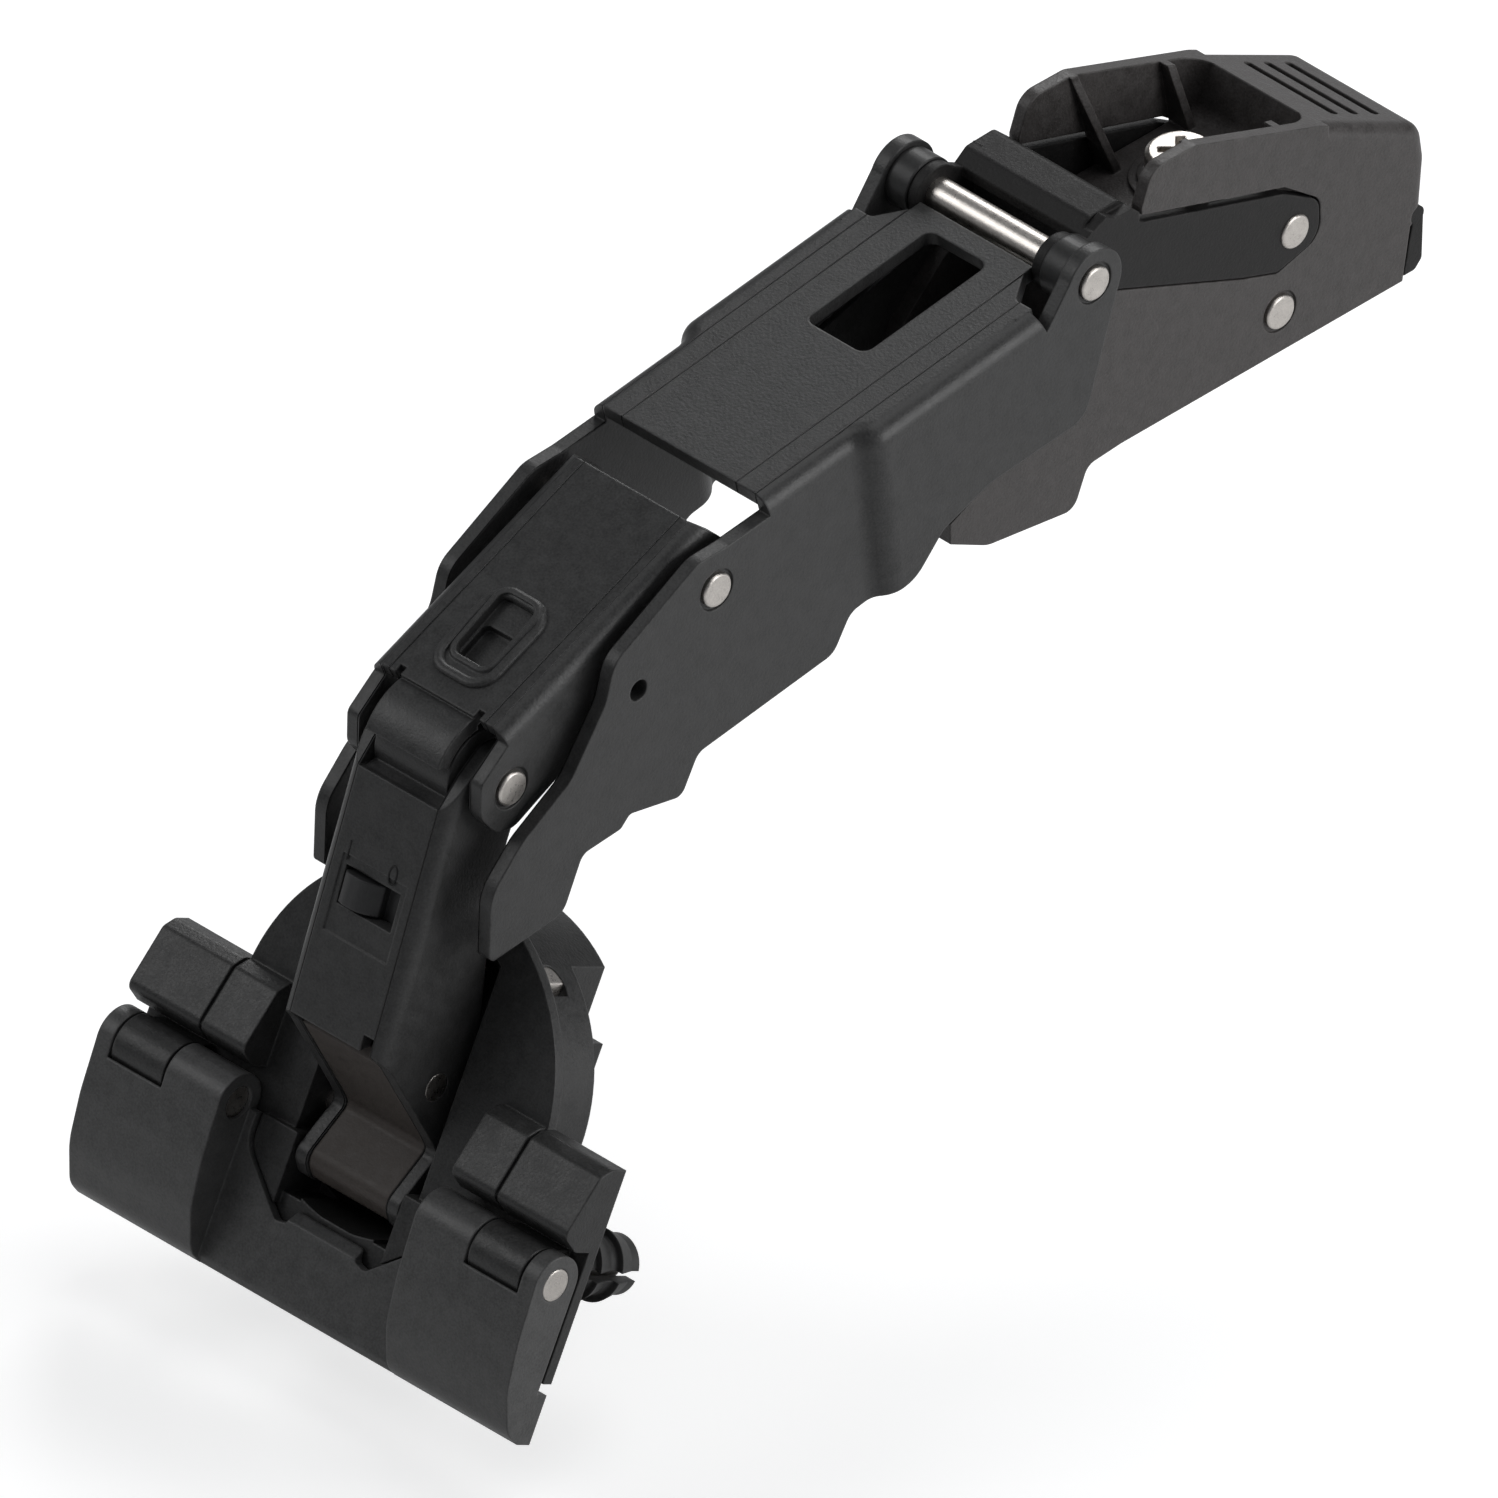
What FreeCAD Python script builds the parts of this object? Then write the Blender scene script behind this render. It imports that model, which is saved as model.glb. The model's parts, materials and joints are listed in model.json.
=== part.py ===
import FreeCAD, Part
import math
import os

# Concealed cabinet hinge for a wide opening angle, modelled fully open.
# The frame: origin on the arm's seat plane below the depth screw, +X along the
# hinge pins, +Y into the cabinet, -Y towards the door, +Z away from the side panel.
# All lengths are in millimetres and all angles in degrees.

V = FreeCAD.Vector
X_AXIS = V(1, 0, 0)

# Driving sizes of the arm
ROD_Y = -24.0                # hinge rod, measured from the depth screw
ROD_Z = 24.0                 # hinge rod above the seat
ROD_R = 1.6
ARM_HALF = 8.6               # half the housing's width
ARM_WALL = 1.3
ARM_REAR = 23.6              # rear end of the housing
ARM_NOSE = -38.4             # front end of the housing's nose
NOSE_DROP = 4.4              # how far the nose hangs below the seat
POCKET_FLOOR = 17.2
POCKET_REAR = 10.1
FLOOR_THICK = 1.6
GUSSET_THICK = 0.9
GRIP_SLOT = 1.0                # width of one grip slot
GRIP_HALF = 5.9
STRAP_THICK = 1.1
FIT = 0.05                   # radial clearance of a running pin
REST_GAP = 0.3               # gap between pieces that rest near each other
SIDE_GAP = 0.2               # gap between flat cheeks that slide past each other
STRAP_PIN_Y = 6.2
STRAP_PIN_Z = 12.6
HOOK_PIN_Y = 4.3
HOOK_PIN_Z = 4.5
SIDE_PIN_R = 1.6
PIN_HEAD_R = 1.75
PIN_PROUD = 0.25             # how far a pin's head stands out
PIN_SEAT_R = 2.15            # round recess that a head lies in
PIN_SINK = 0.3
DEPTH_SCREW_R = 3.3
DEPTH_SCREW_TOP = 20.6
DEPTH_SHAFT_R = 2.2
CAM_DISC_R = 3.4             # eccentric disc on the depth screw
CAM_DISC_OFFSET = 0.8
SIDE_SCREW_Y = -32.0
SIDE_SCREW_R = 2.6
SIDE_SHAFT_R = 2.0
TRUNNION_Y = ARM_REAR - 1.3  # rounded top edge that the release lever rocks on
TRUNNION_Z = 6.3
TRUNNION_R = 0.9

# Driving sizes of the three links, each in its own frame: a runs from its rear pivot
# to its front pivot, b stands up from that line
SHEET = 1.5
LEVER_LENGTH = 48.9
LEVER_ANGLE = -13.5          # direction of the lever, down from level
LEVER_HALF = 12.9            # half the lever's width at the rod
LEVER_NOSE_HALF = 11.4       # half its width past the joggle
LEVER_WEB_REAR = 2.3
LEVER_WEB_FRONT = 41.0
LEVER_WEB_B = 0.55           # height of the web's outside at the rod
LEVER_WEB_SLOPE = 0.113
JOGGLE_A = 28.4
JOGGLE_RUN = 1.6
JOGGLE_LEAN = -0.125
WINDOW_REAR = 4.6
WINDOW_FRONT = 20.8
WINDOW_HALF = 3.9
EAR_R = 3.5
WASHER_R = 3.0
SADDLE_R = 2.8               # carrier's saddle round the rod
NOTCH_TOP = 7.3              # inner corners of the notches beside the lever's ears
NOTCH_FOOT = 9.4
NOTCH_A = 6.6
NOTCH_STRAIGHT = 1.2         # straight start of the notches, clear of the carrier's straps
BEND_R = 2.0
GUARD_PIN_A = 60.2
GUARD_PIN_B = -3.7
GUARD_HOLE_R = 1.1

MIDDLE_LENGTH = 26.6
MIDDLE_ANGLE = -26.1
MIDDLE_HALF = 8.7
MIDDLE_EAR_R = 4.2
MIDDLE_WEB_B = 5.7
MIDDLE_WEB_SLOPE = 0.063
MIDDLE_WEB_REAR = -2.8
MIDDLE_WEB_FRONT = MIDDLE_LENGTH - 2.0
TONGUE_HALF = 4.7
TONGUE_TIP = 53.0            # where the tongue ends, round the knuckle
DISH_A = MIDDLE_LENGTH - 10.4
DISH_LENGTH = 9.2            # outside of the dimple's raised rim
DISH_HALF = 3.05
DISH_RIM = 0.8

INNER_LENGTH = 40.8
INNER_ANGLE = -81.8
INNER_HALF = 6.6
INNER_EAR_R = 3.6
PLATE_TOP_A = 2.1
PLATE_TOP_B = 5.8
PLATE_LOW_A = INNER_LENGTH - 14.4
PLATE_LOW_B = 11.2
BARREL_R = 4.4               # roller round the knuckle pin, inside the tongue
SLOT_A = 11.2
SLOT_LENGTH = 3.8
SLOT_HALF = 3.5
SWITCH_TRAVEL = 2.2
CAM_PIN_R = 1.4
CAM_PIN_A = INNER_LENGTH - 9.2
CAM_PIN_B = 3.2

# Driving sizes of the cup, in the door's own frame: x along the pins, u up the door
# and n out of the door face, with its centre at the centre of the 35 mm boring
CUP_Y = -101.4
CUP_Z = -31.9
DOOR_TILT = 63.0             # turn of the door face about X from level
CUP_R = 17.4
RIM_R = 19.4
CUP_DEPTH = 11.8
SIDE_WALL_DEPTH = 7.0
CORE_HALF = 12.3
CORE_TIP_HALF = 9.6
CUP_WALL = 1.5
CUP_FLOOR = 0.9
CAVITY_HALF = 8.0            # room between the cup's side walls
THROAT_HALF = INNER_HALF + 0.35
THROAT_U = -9.6
GUIDE_PIN_R = 1.5
PLATE_THICK = 1.2
PLATE_HALF = 28.4
PLATE_LOW_U = -19.1
WING_INNER = 13.5
WING_TOP_U = 2.4
WING_LOW_U = -5.9
WING_SEAM = 19.2
CUP_PIN_U = -6.7
CUP_PIN_N = -3.5
GUIDE_PIN_U = 13.0
GUIDE_PIN_N = -3.3
DOWEL_X = 22.5
DOWEL_U = -9.5
DOWEL_R = 3.6
CORE_R = 1.3
DOWEL_LENGTH = 11.0
FLAP_PIN_U = -9.2
FLAP_PIN_N = 4.4
FLAP_PIN_R = 1.6
FLAP_BARREL_R = 2.9
FLAP_END = 1.8               # the flap's outer knuckle
CUP_KNUCKLE = 6.4            # the cup's knuckle beside it
FLAP_LOW_U = -25.2
FLAP_PAD_INNER = 12.7
FLAP_PANEL_N = 2.5
FLAP_CUT_HALF = FLAP_PAD_INNER - 1.0


def save(shape, node):
    """writes one node as a STEP file"""
    shape.exportStep("parts/" + node + ".step")


def corner_points(before, corner, after, radius):
    """start, middle and end of the arc that rounds one corner"""
    into = (before - corner).normalize()
    out = (after - corner).normalize()
    half = into.getAngle(out) / 2
    reach = radius / math.tan(half)
    centre = corner + (into + out).normalize() * (radius / math.sin(half))
    middle = centre + (corner - centre).normalize() * radius
    return corner + into * reach, middle, corner + out * reach


def outline(points, make):
    """closed wire through the points; a third value rounds that corner"""
    corners = [make(point[0], point[1]) for point in points]
    radii = [point[2] if len(point) > 2 else 0 for point in points]
    count = len(points)
    starts = []
    ends = []
    edges = []
    for i in range(count):
        first = last = corners[i]
        if radii[i]:
            after = corners[(i + 1) % count]
            first, middle, last = corner_points(corners[i - 1], corners[i], after, radii[i])
            edges.append(Part.Arc(first, middle, last).toShape())
        starts.append(first)
        ends.append(last)
    for i in range(count):
        target = starts[(i + 1) % count]
        if ends[i].distanceToPoint(target) > 1e-6:
            edges.append(Part.makeLine(ends[i], target))
    return Part.Wire(Part.__sortEdges__(edges))


def side_slab(points, low_x, high_x):
    """solid whose side view is the outline in y, z, between two x values"""
    wire = outline(points, lambda y, z: V(low_x, y, z))
    return Part.Face(wire).extrude(V(high_x - low_x, 0, 0))


def link_slab(points, low_x, high_x):
    """the same for a link's own a, b; a runs forward along -y"""
    return side_slab([(-p[0], p[1]) + tuple(p[2:]) for p in points], low_x, high_x)


def both_sides(solid):
    """the solid and its mirror image across the middle plane"""
    return solid.fuse(solid.mirror(V(0, 0, 0), X_AXIS))


def x_cylinder(radius, low_x, high_x, y, z):
    return Part.makeCylinder(radius, high_x - low_x, V(low_x, y, z), X_AXIS)


def box(low_x, high_x, low_y, high_y, low_z, high_z):
    return Part.makeBox(high_x - low_x, high_y - low_y, high_z - low_z, V(low_x, low_y, low_z))


def plan_prism(points, low_z, high_z, lean=0.0):
    """solid whose plan view is the outline in x, y; lean shifts y with height"""
    wire = outline(points, lambda x, y: V(x, y + lean * low_z, low_z))
    height = high_z - low_z
    return Part.Face(wire).extrude(V(0, lean * height, height))


def pin(half, y, z, radius, sink):
    """turned pin whose chamfered heads lie sunk in round recesses"""
    body = x_cylinder(radius, -half, half, y, z)
    body = body.fuse(both_sides(x_cylinder(PIN_HEAD_R, half - sink, half + PIN_PROUD, y, z)))
    ends = [e for e in body.Edges if abs(abs(e.CenterOfMass.x) - half - PIN_PROUD) < 1e-6]
    return body.makeChamfer(PIN_PROUD * 0.6, ends)


def pin_seats(half, y, z):
    """the two round recesses of a pin in cheeks whose outsides lie at half"""
    return both_sides(x_cylinder(PIN_SEAT_R, half - PIN_SINK, half + 2, y, z))


def top_bend(solid, on_edge, radius):
    """rounds the long outer edges that on_edge picks"""
    edges = [e for e in solid.Edges if on_edge(e)]
    return solid.makeFillet(radius, edges)


def pressed_channel(cheek, half, web, bend):
    """bent channel whose side view is the cheek; its web runs between the two points of web"""
    rear, front = web
    outside = link_slab(cheek, -half, half)

    def shoulder(edge):
        ends = [(-v.Y, v.Z) for v in edge.Vertexes]
        on_web = all(min(math.dist(end, rear), math.dist(end, front)) < 1e-4 for end in ends)
        return on_web and abs(edge.CenterOfMass.x) > half - 1e-3

    outside = top_bend(outside, shoulder, bend)
    room = [(-20, 20), (rear[0], 20), (rear[0], rear[1] - SHEET), (front[0], front[1] - SHEET), (front[0], 20),
            (95, 20), (95, -30), (-20, -30)]
    return outside.cut(link_slab(room, -half + SHEET, half - SHEET))


def place_link(solid, origin, angle):
    """moves a link from its own frame to its place in the hinge"""
    placed = solid.copy()
    placed.Placement = FreeCAD.Placement(origin, FreeCAD.Rotation(X_AXIS, -angle))
    return placed


def along(origin, length, angle):
    """the point that lies length forward of origin at an angle above level"""
    turn = math.radians(angle)
    return origin + V(0, -length * math.cos(turn), length * math.sin(turn))


ROD = V(0, ROD_Y, ROD_Z)
LEVER_PIN = along(ROD, LEVER_LENGTH, LEVER_ANGLE)
KNUCKLE = along(LEVER_PIN, MIDDLE_LENGTH, MIDDLE_ANGLE)
CUP_PIN = along(KNUCKLE, INNER_LENGTH, INNER_ANGLE)


def door_origin():
    """centre of the boring, set so that the cup's pivot falls on the inner link's"""
    turn = FreeCAD.Rotation(X_AXIS, DOOR_TILT)
    return CUP_PIN - turn.multVec(V(0, CUP_PIN_U, CUP_PIN_N))


def place_door(solid):
    placed = solid.copy()
    placed.Placement = FreeCAD.Placement(door_origin(), FreeCAD.Rotation(X_AXIS, DOOR_TILT))
    return placed


# The arm

def strap_outline(gap, head_room):
    """side view of the carrier's strap, grown by gap and on top by head_room"""
    rear = STRAP_PIN_Y + 3.2 + gap
    return [(ROD_Y, ROD_Z + 3.0 + gap), (-20.7, 25.2 + gap), (-18.2, 26.4 + gap), (-13.3, 23.4 + head_room),
            (4.9, 17.4 + head_room, 1), (rear, 14.6, 2), (rear, 10.4, 2.4), (4.0, 9.1 - gap, 1),
            (-0.5, 10.7 - gap, 2), (-16.8, 17.6 - gap), (ROD_Y - 1, ROD_Z - EAR_R - gap), (ROD_Y - 1, ROD_Z)]


def housing_outline():
    return [(-13.6, 23.4), (-13.6, 25.0), (-12.2, 28.7, 2.2), (-6.6, 28.6, 2), (9.6, 22.7, 6),
            (ARM_REAR - 0.5, 15.9, 2.4), (ARM_REAR, 12.3, 3), (ARM_REAR - 0.5, 7.2), (ARM_REAR - 2.4, 5.6),
            (ARM_REAR - 3.4, 0), (-16.2, 0, 1), (-20.6, -0.3, 1.5), (-22.4, -NOSE_DROP, 1.6),
            (-33.6, -2.8, 4), (ARM_NOSE, -0.3), (ARM_NOSE, 1.9), (-33.4, 4.2, 2),
            (-29.0, 12.0, 3), (-21.5, 19.0), (-19.0, 23.4)]


def gusset(y_top, y_foot, inner):
    """small leaning rib between the pocket's floor and one side wall"""
    low = POCKET_FLOOR - 0.2
    rib = side_slab([(y_foot, low), (y_foot + GUSSET_THICK, low), (y_top + GUSSET_THICK, 30), (y_top, 30)],
                    inner - 2.4, inner + 0.2)
    above = [V(inner - 2.6, y_top - 9, low), V(inner - 0.3, y_top - 9, 28), V(inner - 0.3, y_top - 9, 32),
             V(inner - 2.6, y_top - 9, 32), V(inner - 2.6, y_top - 9, low)]
    rib = rib.cut(Part.Face(Part.makePolygon(above)).extrude(V(0, 30, 0)))
    return both_sides(rib.common(side_slab(housing_outline(), -ARM_HALF, ARM_HALF)))


def arm_pocket(inner):
    """room between the side walls, rounded at its rear end"""
    room = side_slab([(-26, POCKET_FLOOR), (POCKET_REAR - 1.5, POCKET_FLOOR, 1.5),
                      (POCKET_REAR, 23.5), (POCKET_REAR, 32), (-26, 32)], -inner, inner)
    plan = plan_prism([(-inner, -30), (inner, -30), (inner, POCKET_REAR, 3), (-inner, POCKET_REAR, 3)], 10, 40)
    return room.common(plan)


def grip_slots():
    """three rounded slots across the sloping rear end"""
    slots = None
    for y in (14.3, 16.9, 19.6):
        z = 15.9 + (ARM_REAR - 0.5 - y) * 0.504
        ends = GRIP_SLOT * 0.48
        slot = plan_prism([(-GRIP_HALF, y - GRIP_SLOT / 2, ends), (GRIP_HALF, y - GRIP_SLOT / 2, ends),
                           (GRIP_HALF, y + GRIP_SLOT / 2, ends), (-GRIP_HALF, y + GRIP_SLOT / 2, ends)],
                          z - 1.1, z + 2)
        slots = slot if slots is None else slots.fuse(slot)
    return slots


def arm_housing():
    """die-cast housing: side walls, pocket with gussets, grip and nose"""
    whole = side_slab(housing_outline(), -ARM_HALF, ARM_HALF)
    split = POCKET_REAR + 0.6
    behind = box(-30, 30, split, 60, -10, 40)
    hump = whole.common(behind)
    top = [e for e in hump.Edges
           if e.BoundBox.XLength < 1e-6 and e.CenterOfMass.y > split + 0.5 and e.CenterOfMass.z > 12.5]
    body = whole.cut(behind).fuse(hump.makeFillet(1.4, top)).removeSplitter()
    inner = ARM_HALF - ARM_WALL
    body = body.cut(arm_pocket(inner))
    under = POCKET_FLOOR - FLOOR_THICK
    hollow_half = inner - 0.4
    hollow = side_slab([(-17.5, -8), (-17.5, 10.5, 2), (-8, under, 2), (POCKET_REAR, under, 2),
                        (ARM_REAR - 2.6, 10.5, 2), (ARM_REAR - 2.6, -8)], -hollow_half, hollow_half)
    body = body.cut(hollow)
    throat = side_slab([(-23.5, 3.0, 1.5), (-18.8, 3.0), (-18.8, 16.5), (-30.5, 30), (-40, 30), (-40, 6.5)],
                       -hollow_half, hollow_half)
    body = body.cut(throat)
    inset = side_slab(strap_outline(0.2, 0.8), ARM_HALF - STRAP_THICK - 0.2, ARM_HALF + 1)
    body = body.cut(both_sides(inset))
    body = body.fuse(gusset(-7.6, -3.6, inner)).fuse(gusset(3.6, 6.0, inner))
    boss = Part.makeCylinder(DEPTH_SCREW_R + 1.5, 0.6, V(0, 0, POCKET_FLOOR - 0.2))
    boss = boss.fuse(Part.makeCylinder(DEPTH_SCREW_R + 0.7, 1.0, V(0, 0, POCKET_FLOOR - 0.2)))
    body = body.fuse(boss)
    body = body.cut(Part.makeCylinder(DEPTH_SCREW_R + 0.1, 20, V(0, 0, POCKET_FLOOR - 0.6)))
    body = body.cut(Part.makeCylinder(DEPTH_SHAFT_R + FIT, 20, V(0, 0, 10)))
    body = body.cut(grip_slots())
    body = body.cut(x_cylinder(SIDE_PIN_R, -20, 20, STRAP_PIN_Y, STRAP_PIN_Z))
    body = body.cut(x_cylinder(SIDE_PIN_R, -20, 20, HOOK_PIN_Y, HOOK_PIN_Z))
    body = body.cut(pin_seats(ARM_HALF, HOOK_PIN_Y, HOOK_PIN_Z))
    body = body.cut(x_cylinder(TRUNNION_R + FIT, -20, 20, TRUNNION_Y, TRUNNION_Z))
    body = body.cut(Part.makeCylinder(SIDE_SHAFT_R + FIT, 20, V(0, SIDE_SCREW_Y, -6)))
    return body.removeSplitter()


def front_carrier():
    """carrier that holds the rod: lip block, rod saddles and two side straps"""
    low = ARM_HALF - STRAP_THICK
    strap = side_slab(strap_outline(0, 0), low, ARM_HALF)
    strap = strap.cut(side_slab([(ROD_Y - 9, ROD_Z + 9), (ROD_Y - 9, ROD_Z - 9), (ROD_Y - 1.2, ROD_Z - 9),
                                 (ROD_Y + 2.2, ROD_Z + 1.0), (ROD_Y + 2.2, ROD_Z + 9)], low - 1, ARM_HALF + 1))
    saddle = x_cylinder(SADDLE_R, low, ARM_HALF, ROD_Y, ROD_Z)
    carrier = both_sides(strap.fuse(saddle))
    lip = side_slab([(-19.8, 23.4), (-20.8, 24.2), (-20.7, 25.2, 0.4), (-19.2, 26.3, 0.8), (-15.6, 26.4, 1),
                     (-13.9, 24.8), (-13.9, 23.6), (-18.6, 23.2)], -ARM_HALF, ARM_HALF)
    step = side_slab([(-22, 25.6), (-22, 28), (-13, 28), (-13, 25.6)], ARM_HALF - 1.2, ARM_HALF + 1)
    carrier = carrier.fuse(lip.cut(step))
    wall_half = ARM_HALF - ARM_WALL - REST_GAP
    wall = side_slab([(-19.8, 19.5), (-18.6, 19.5), (-18.6, 25.2), (-19.8, 25.2)], -wall_half, wall_half)
    carrier = carrier.fuse(wall)
    carrier = carrier.cut(x_cylinder(ROD_R, -20, 20, ROD_Y, ROD_Z))
    carrier = carrier.cut(x_cylinder(SIDE_PIN_R, -20, 20, STRAP_PIN_Y, STRAP_PIN_Z))
    return carrier.removeSplitter()


def rod_washers():
    low = ARM_HALF + SIDE_GAP / 2
    high = LEVER_HALF - SHEET - SIDE_GAP / 2
    ring = x_cylinder(WASHER_R, low, high, ROD_Y, ROD_Z)
    ring = ring.cut(x_cylinder(ROD_R, low - 1, high + 1, ROD_Y, ROD_Z))
    return both_sides(ring)


def cross_recess(screw, y, top, reach, width, depth, turns):
    """the screw with a cross cut into its head"""
    for turn in turns:
        bar = box(-reach, reach, -width / 2, width / 2, top - depth, top + 1)
        bar.rotate(V(0, 0, 0), V(0, 0, 1), turn)
        bar.translate(V(0, y, 0))
        screw = screw.cut(bar)
    return screw


def depth_screw():
    """flat-headed adjusting screw with a cross recess and a cam disc below"""
    head_low = POCKET_FLOOR + 0.3
    screw = Part.makeCylinder(DEPTH_SCREW_R, DEPTH_SCREW_TOP - head_low, V(0, 0, head_low))
    rim = [e for e in screw.Edges if e.CenterOfMass.z > DEPTH_SCREW_TOP - 1e-3 and e.Length > 10]
    screw = screw.makeChamfer(0.4, rim)
    disc_low = 8.0
    screw = screw.fuse(Part.makeCylinder(DEPTH_SHAFT_R, head_low - disc_low, V(0, 0, disc_low)))
    screw = screw.fuse(Part.makeCylinder(CAM_DISC_R, 1.5, V(0, -CAM_DISC_OFFSET, disc_low)))
    return cross_recess(screw, 0, DEPTH_SCREW_TOP, 2.1, 0.9, 1.6, (45, 135))


def side_screw():
    """side adjusting screw that stands in the nose, below the lever's window"""
    floor = 5.2
    top = floor + 3.4
    screw = Part.makeCylinder(SIDE_SCREW_R, 2.2, V(0, SIDE_SCREW_Y, top - 2.2))
    screw = screw.fuse(Part.makeCylinder(SIDE_SHAFT_R, 9.4, V(0, SIDE_SCREW_Y, floor - 8)))
    return cross_recess(screw, SIDE_SCREW_Y, top, 1.7, 0.8, 1.2, (0, 90))


def release_lever():
    """rear latch lever that frees the arm from its plate, rocking on its rounded top edge"""
    half = ARM_HALF - 0.2
    lever = side_slab([(ARM_REAR - 3.0, 0.3), (ARM_REAR - 1.6, 0.3, 0.6), (ARM_REAR - 0.7, 1.2, 0.6),
                       (TRUNNION_Y + TRUNNION_R * 0.9, TRUNNION_Z), (TRUNNION_Y - TRUNNION_R * 0.6, TRUNNION_Z - 0.6)],
                      -half, half)
    return lever.fuse(x_cylinder(TRUNNION_R, -half, half, TRUNNION_Y, TRUNNION_Z)).removeSplitter()


# The lever with the guard cheeks

def lever_web_b(a):
    return LEVER_WEB_B + LEVER_WEB_SLOPE * a


def lever_cheek_outline():
    return [(7.0, lever_web_b(7.0)), (LEVER_WEB_FRONT, lever_web_b(LEVER_WEB_FRONT)),
            (LEVER_WEB_FRONT, 3.0), (46.5, 3.7, 2), (LEVER_LENGTH + 1.4, 4.5, 3), (62.2, 1.4, 3),
            (64.2, -2.2, 4), (70.2, -7.4, 4), (77.2, -9.6, 5), (82.0, -12.6, 4), (84.0, -19.7, 0.8),
            (74.4, -21.0, 2), (70.7, -16.4, 1.4), (65.8, -17.2, 0.8), (64.4, -16.4, 0.8), (58.2, -19.3, 1.2),
            (55.2, -16.1, 1.6), (37.6, -17.9, 2), (34.6, -15.0, 2), (27.6, -15.6, 4), (23.2, -12.8, 3),
            (16.8, -12.1, 6), (4.6, -13.9, 2.5), (-3.0, -1.8), (0.0, -1.0), (6.6, -1.0)]


def joggled_plan(inset):
    """plan view of the lever in x and y, drawn in from its outside by inset"""
    rear = LEVER_HALF - inset
    nose = LEVER_NOSE_HALF - inset
    end = JOGGLE_A + JOGGLE_RUN
    right = [(rear, 10), (rear, -JOGGLE_A + inset * 0.4, 3.0 - inset), (nose, -end + inset * 0.4, 2.0 + inset),
             (nose, -95)]
    left = [(-point[0],) + tuple(point[1:]) for point in reversed(right)]
    return right + left


def web_points(first, last, drop):
    """rear and front end of a line drop below the web's outside"""
    return [(first, lever_web_b(first) - drop), (last, lever_web_b(last) - drop)]


def lever_web_slab(first, last):
    """the web's full sheet between two stations, as wide as the table of the web"""
    sheet = link_slab(web_points(first, last, 0) + web_points(first, last, SHEET)[::-1], -20, 20)
    wide = LEVER_HALF - SHEET
    turn = first + NOTCH_STRAIGHT
    plan = plan_prism([(-NOTCH_TOP, -first), (NOTCH_TOP, -first), (NOTCH_TOP, -turn), (NOTCH_FOOT, -NOTCH_A, 0.6),
                       (wide, -NOTCH_A), (wide, -last), (-wide, -last), (-wide, -NOTCH_A),
                       (-NOTCH_FOOT, -NOTCH_A, 0.6), (-NOTCH_TOP, -turn)], -9, 9)
    return sheet.common(plan)


def outer_lever():
    """pressed channel: web with a window, joggled cheeks, ears on the rod"""
    outside = plan_prism(joggled_plan(0), -30, 12, -JOGGLE_LEAN)
    outside = outside.common(link_slab(lever_cheek_outline(), -20, 20))

    def shoulder(edge):
        on_web = all(abs(v.Z - lever_web_b(-v.Y)) < 1e-4 for v in edge.Vertexes)
        return on_web and edge.BoundBox.YLength > 0.1

    outside = top_bend(outside, shoulder, BEND_R)
    room = link_slab([(-20, 12), (LEVER_WEB_REAR, 12)] + web_points(LEVER_WEB_REAR, LEVER_WEB_FRONT, SHEET)
                     + [(LEVER_WEB_FRONT, 12), (95, 12), (95, -30), (-20, -30)], -20, 20)
    inside = plan_prism(joggled_plan(SHEET), -30, 12, -JOGGLE_LEAN).common(room)
    body = outside.cut(inside)
    body = body.fuse(lever_web_slab(LEVER_WEB_REAR, NOTCH_A + 2))
    ear = x_cylinder(EAR_R, LEVER_HALF - SHEET, LEVER_HALF, 0, 0)
    neck = link_slab([(-3.3, -1.2), (0, EAR_R - 0.02), (2.6, EAR_R - 1.2), (7.2, -1.4)],
                     LEVER_HALF - SHEET, LEVER_HALF)
    body = body.fuse(both_sides(ear.fuse(neck)))
    window = plan_prism([(-WINDOW_HALF, -WINDOW_REAR, 1.2), (WINDOW_HALF, -WINDOW_REAR, 1.2),
                         (WINDOW_HALF, -WINDOW_FRONT, 1.2), (-WINDOW_HALF, -WINDOW_FRONT, 1.2)], -4, 8)
    body = body.cut(window)
    body = body.cut(x_cylinder(ROD_R + FIT, -20, 20, 0, 0))
    body = body.cut(pin_seats(LEVER_HALF, 0, 0))
    body = body.cut(x_cylinder(SIDE_PIN_R, -20, 20, -LEVER_LENGTH, 0))
    body = body.cut(pin_seats(LEVER_NOSE_HALF, -LEVER_LENGTH, 0))
    body = body.cut(x_cylinder(GUARD_HOLE_R, -20, 20, -GUARD_PIN_A, GUARD_PIN_B))
    return place_link(body.removeSplitter(), ROD, LEVER_ANGLE)


# The middle link

def middle_web_b(a):
    return MIDDLE_WEB_B + MIDDLE_WEB_SLOPE * (a - 14)


def ring_sector(outer, wall, low_angle, high_angle, half):
    """piece of tube round the knuckle between two angles above the link's own line"""
    tube = x_cylinder(outer, -half, half, -MIDDLE_LENGTH, 0)
    tube = tube.cut(x_cylinder(outer - wall, -half - 1, half + 1, -MIDDLE_LENGTH, 0))
    far = 3 * outer
    corners = [(MIDDLE_LENGTH, 0)]
    for angle in (low_angle, (low_angle + high_angle) / 2, high_angle):
        turn = math.radians(angle)
        corners.append((MIDDLE_LENGTH + far * math.cos(turn), far * math.sin(turn)))
    return tube.common(link_slab(corners, -half - 1, half + 1))


def rounded_block(first, last, low_b, high_b, half, radius):
    """block along a link whose four upright corners are rounded"""
    block = link_slab([(first, low_b), (first, high_b), (last, high_b), (last, low_b)], -half, half)
    upright = [e for e in block.Edges if e.BoundBox.XLength < 1e-6 and e.BoundBox.YLength < 1e-6]
    return block.makeFillet(radius, upright)


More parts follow.
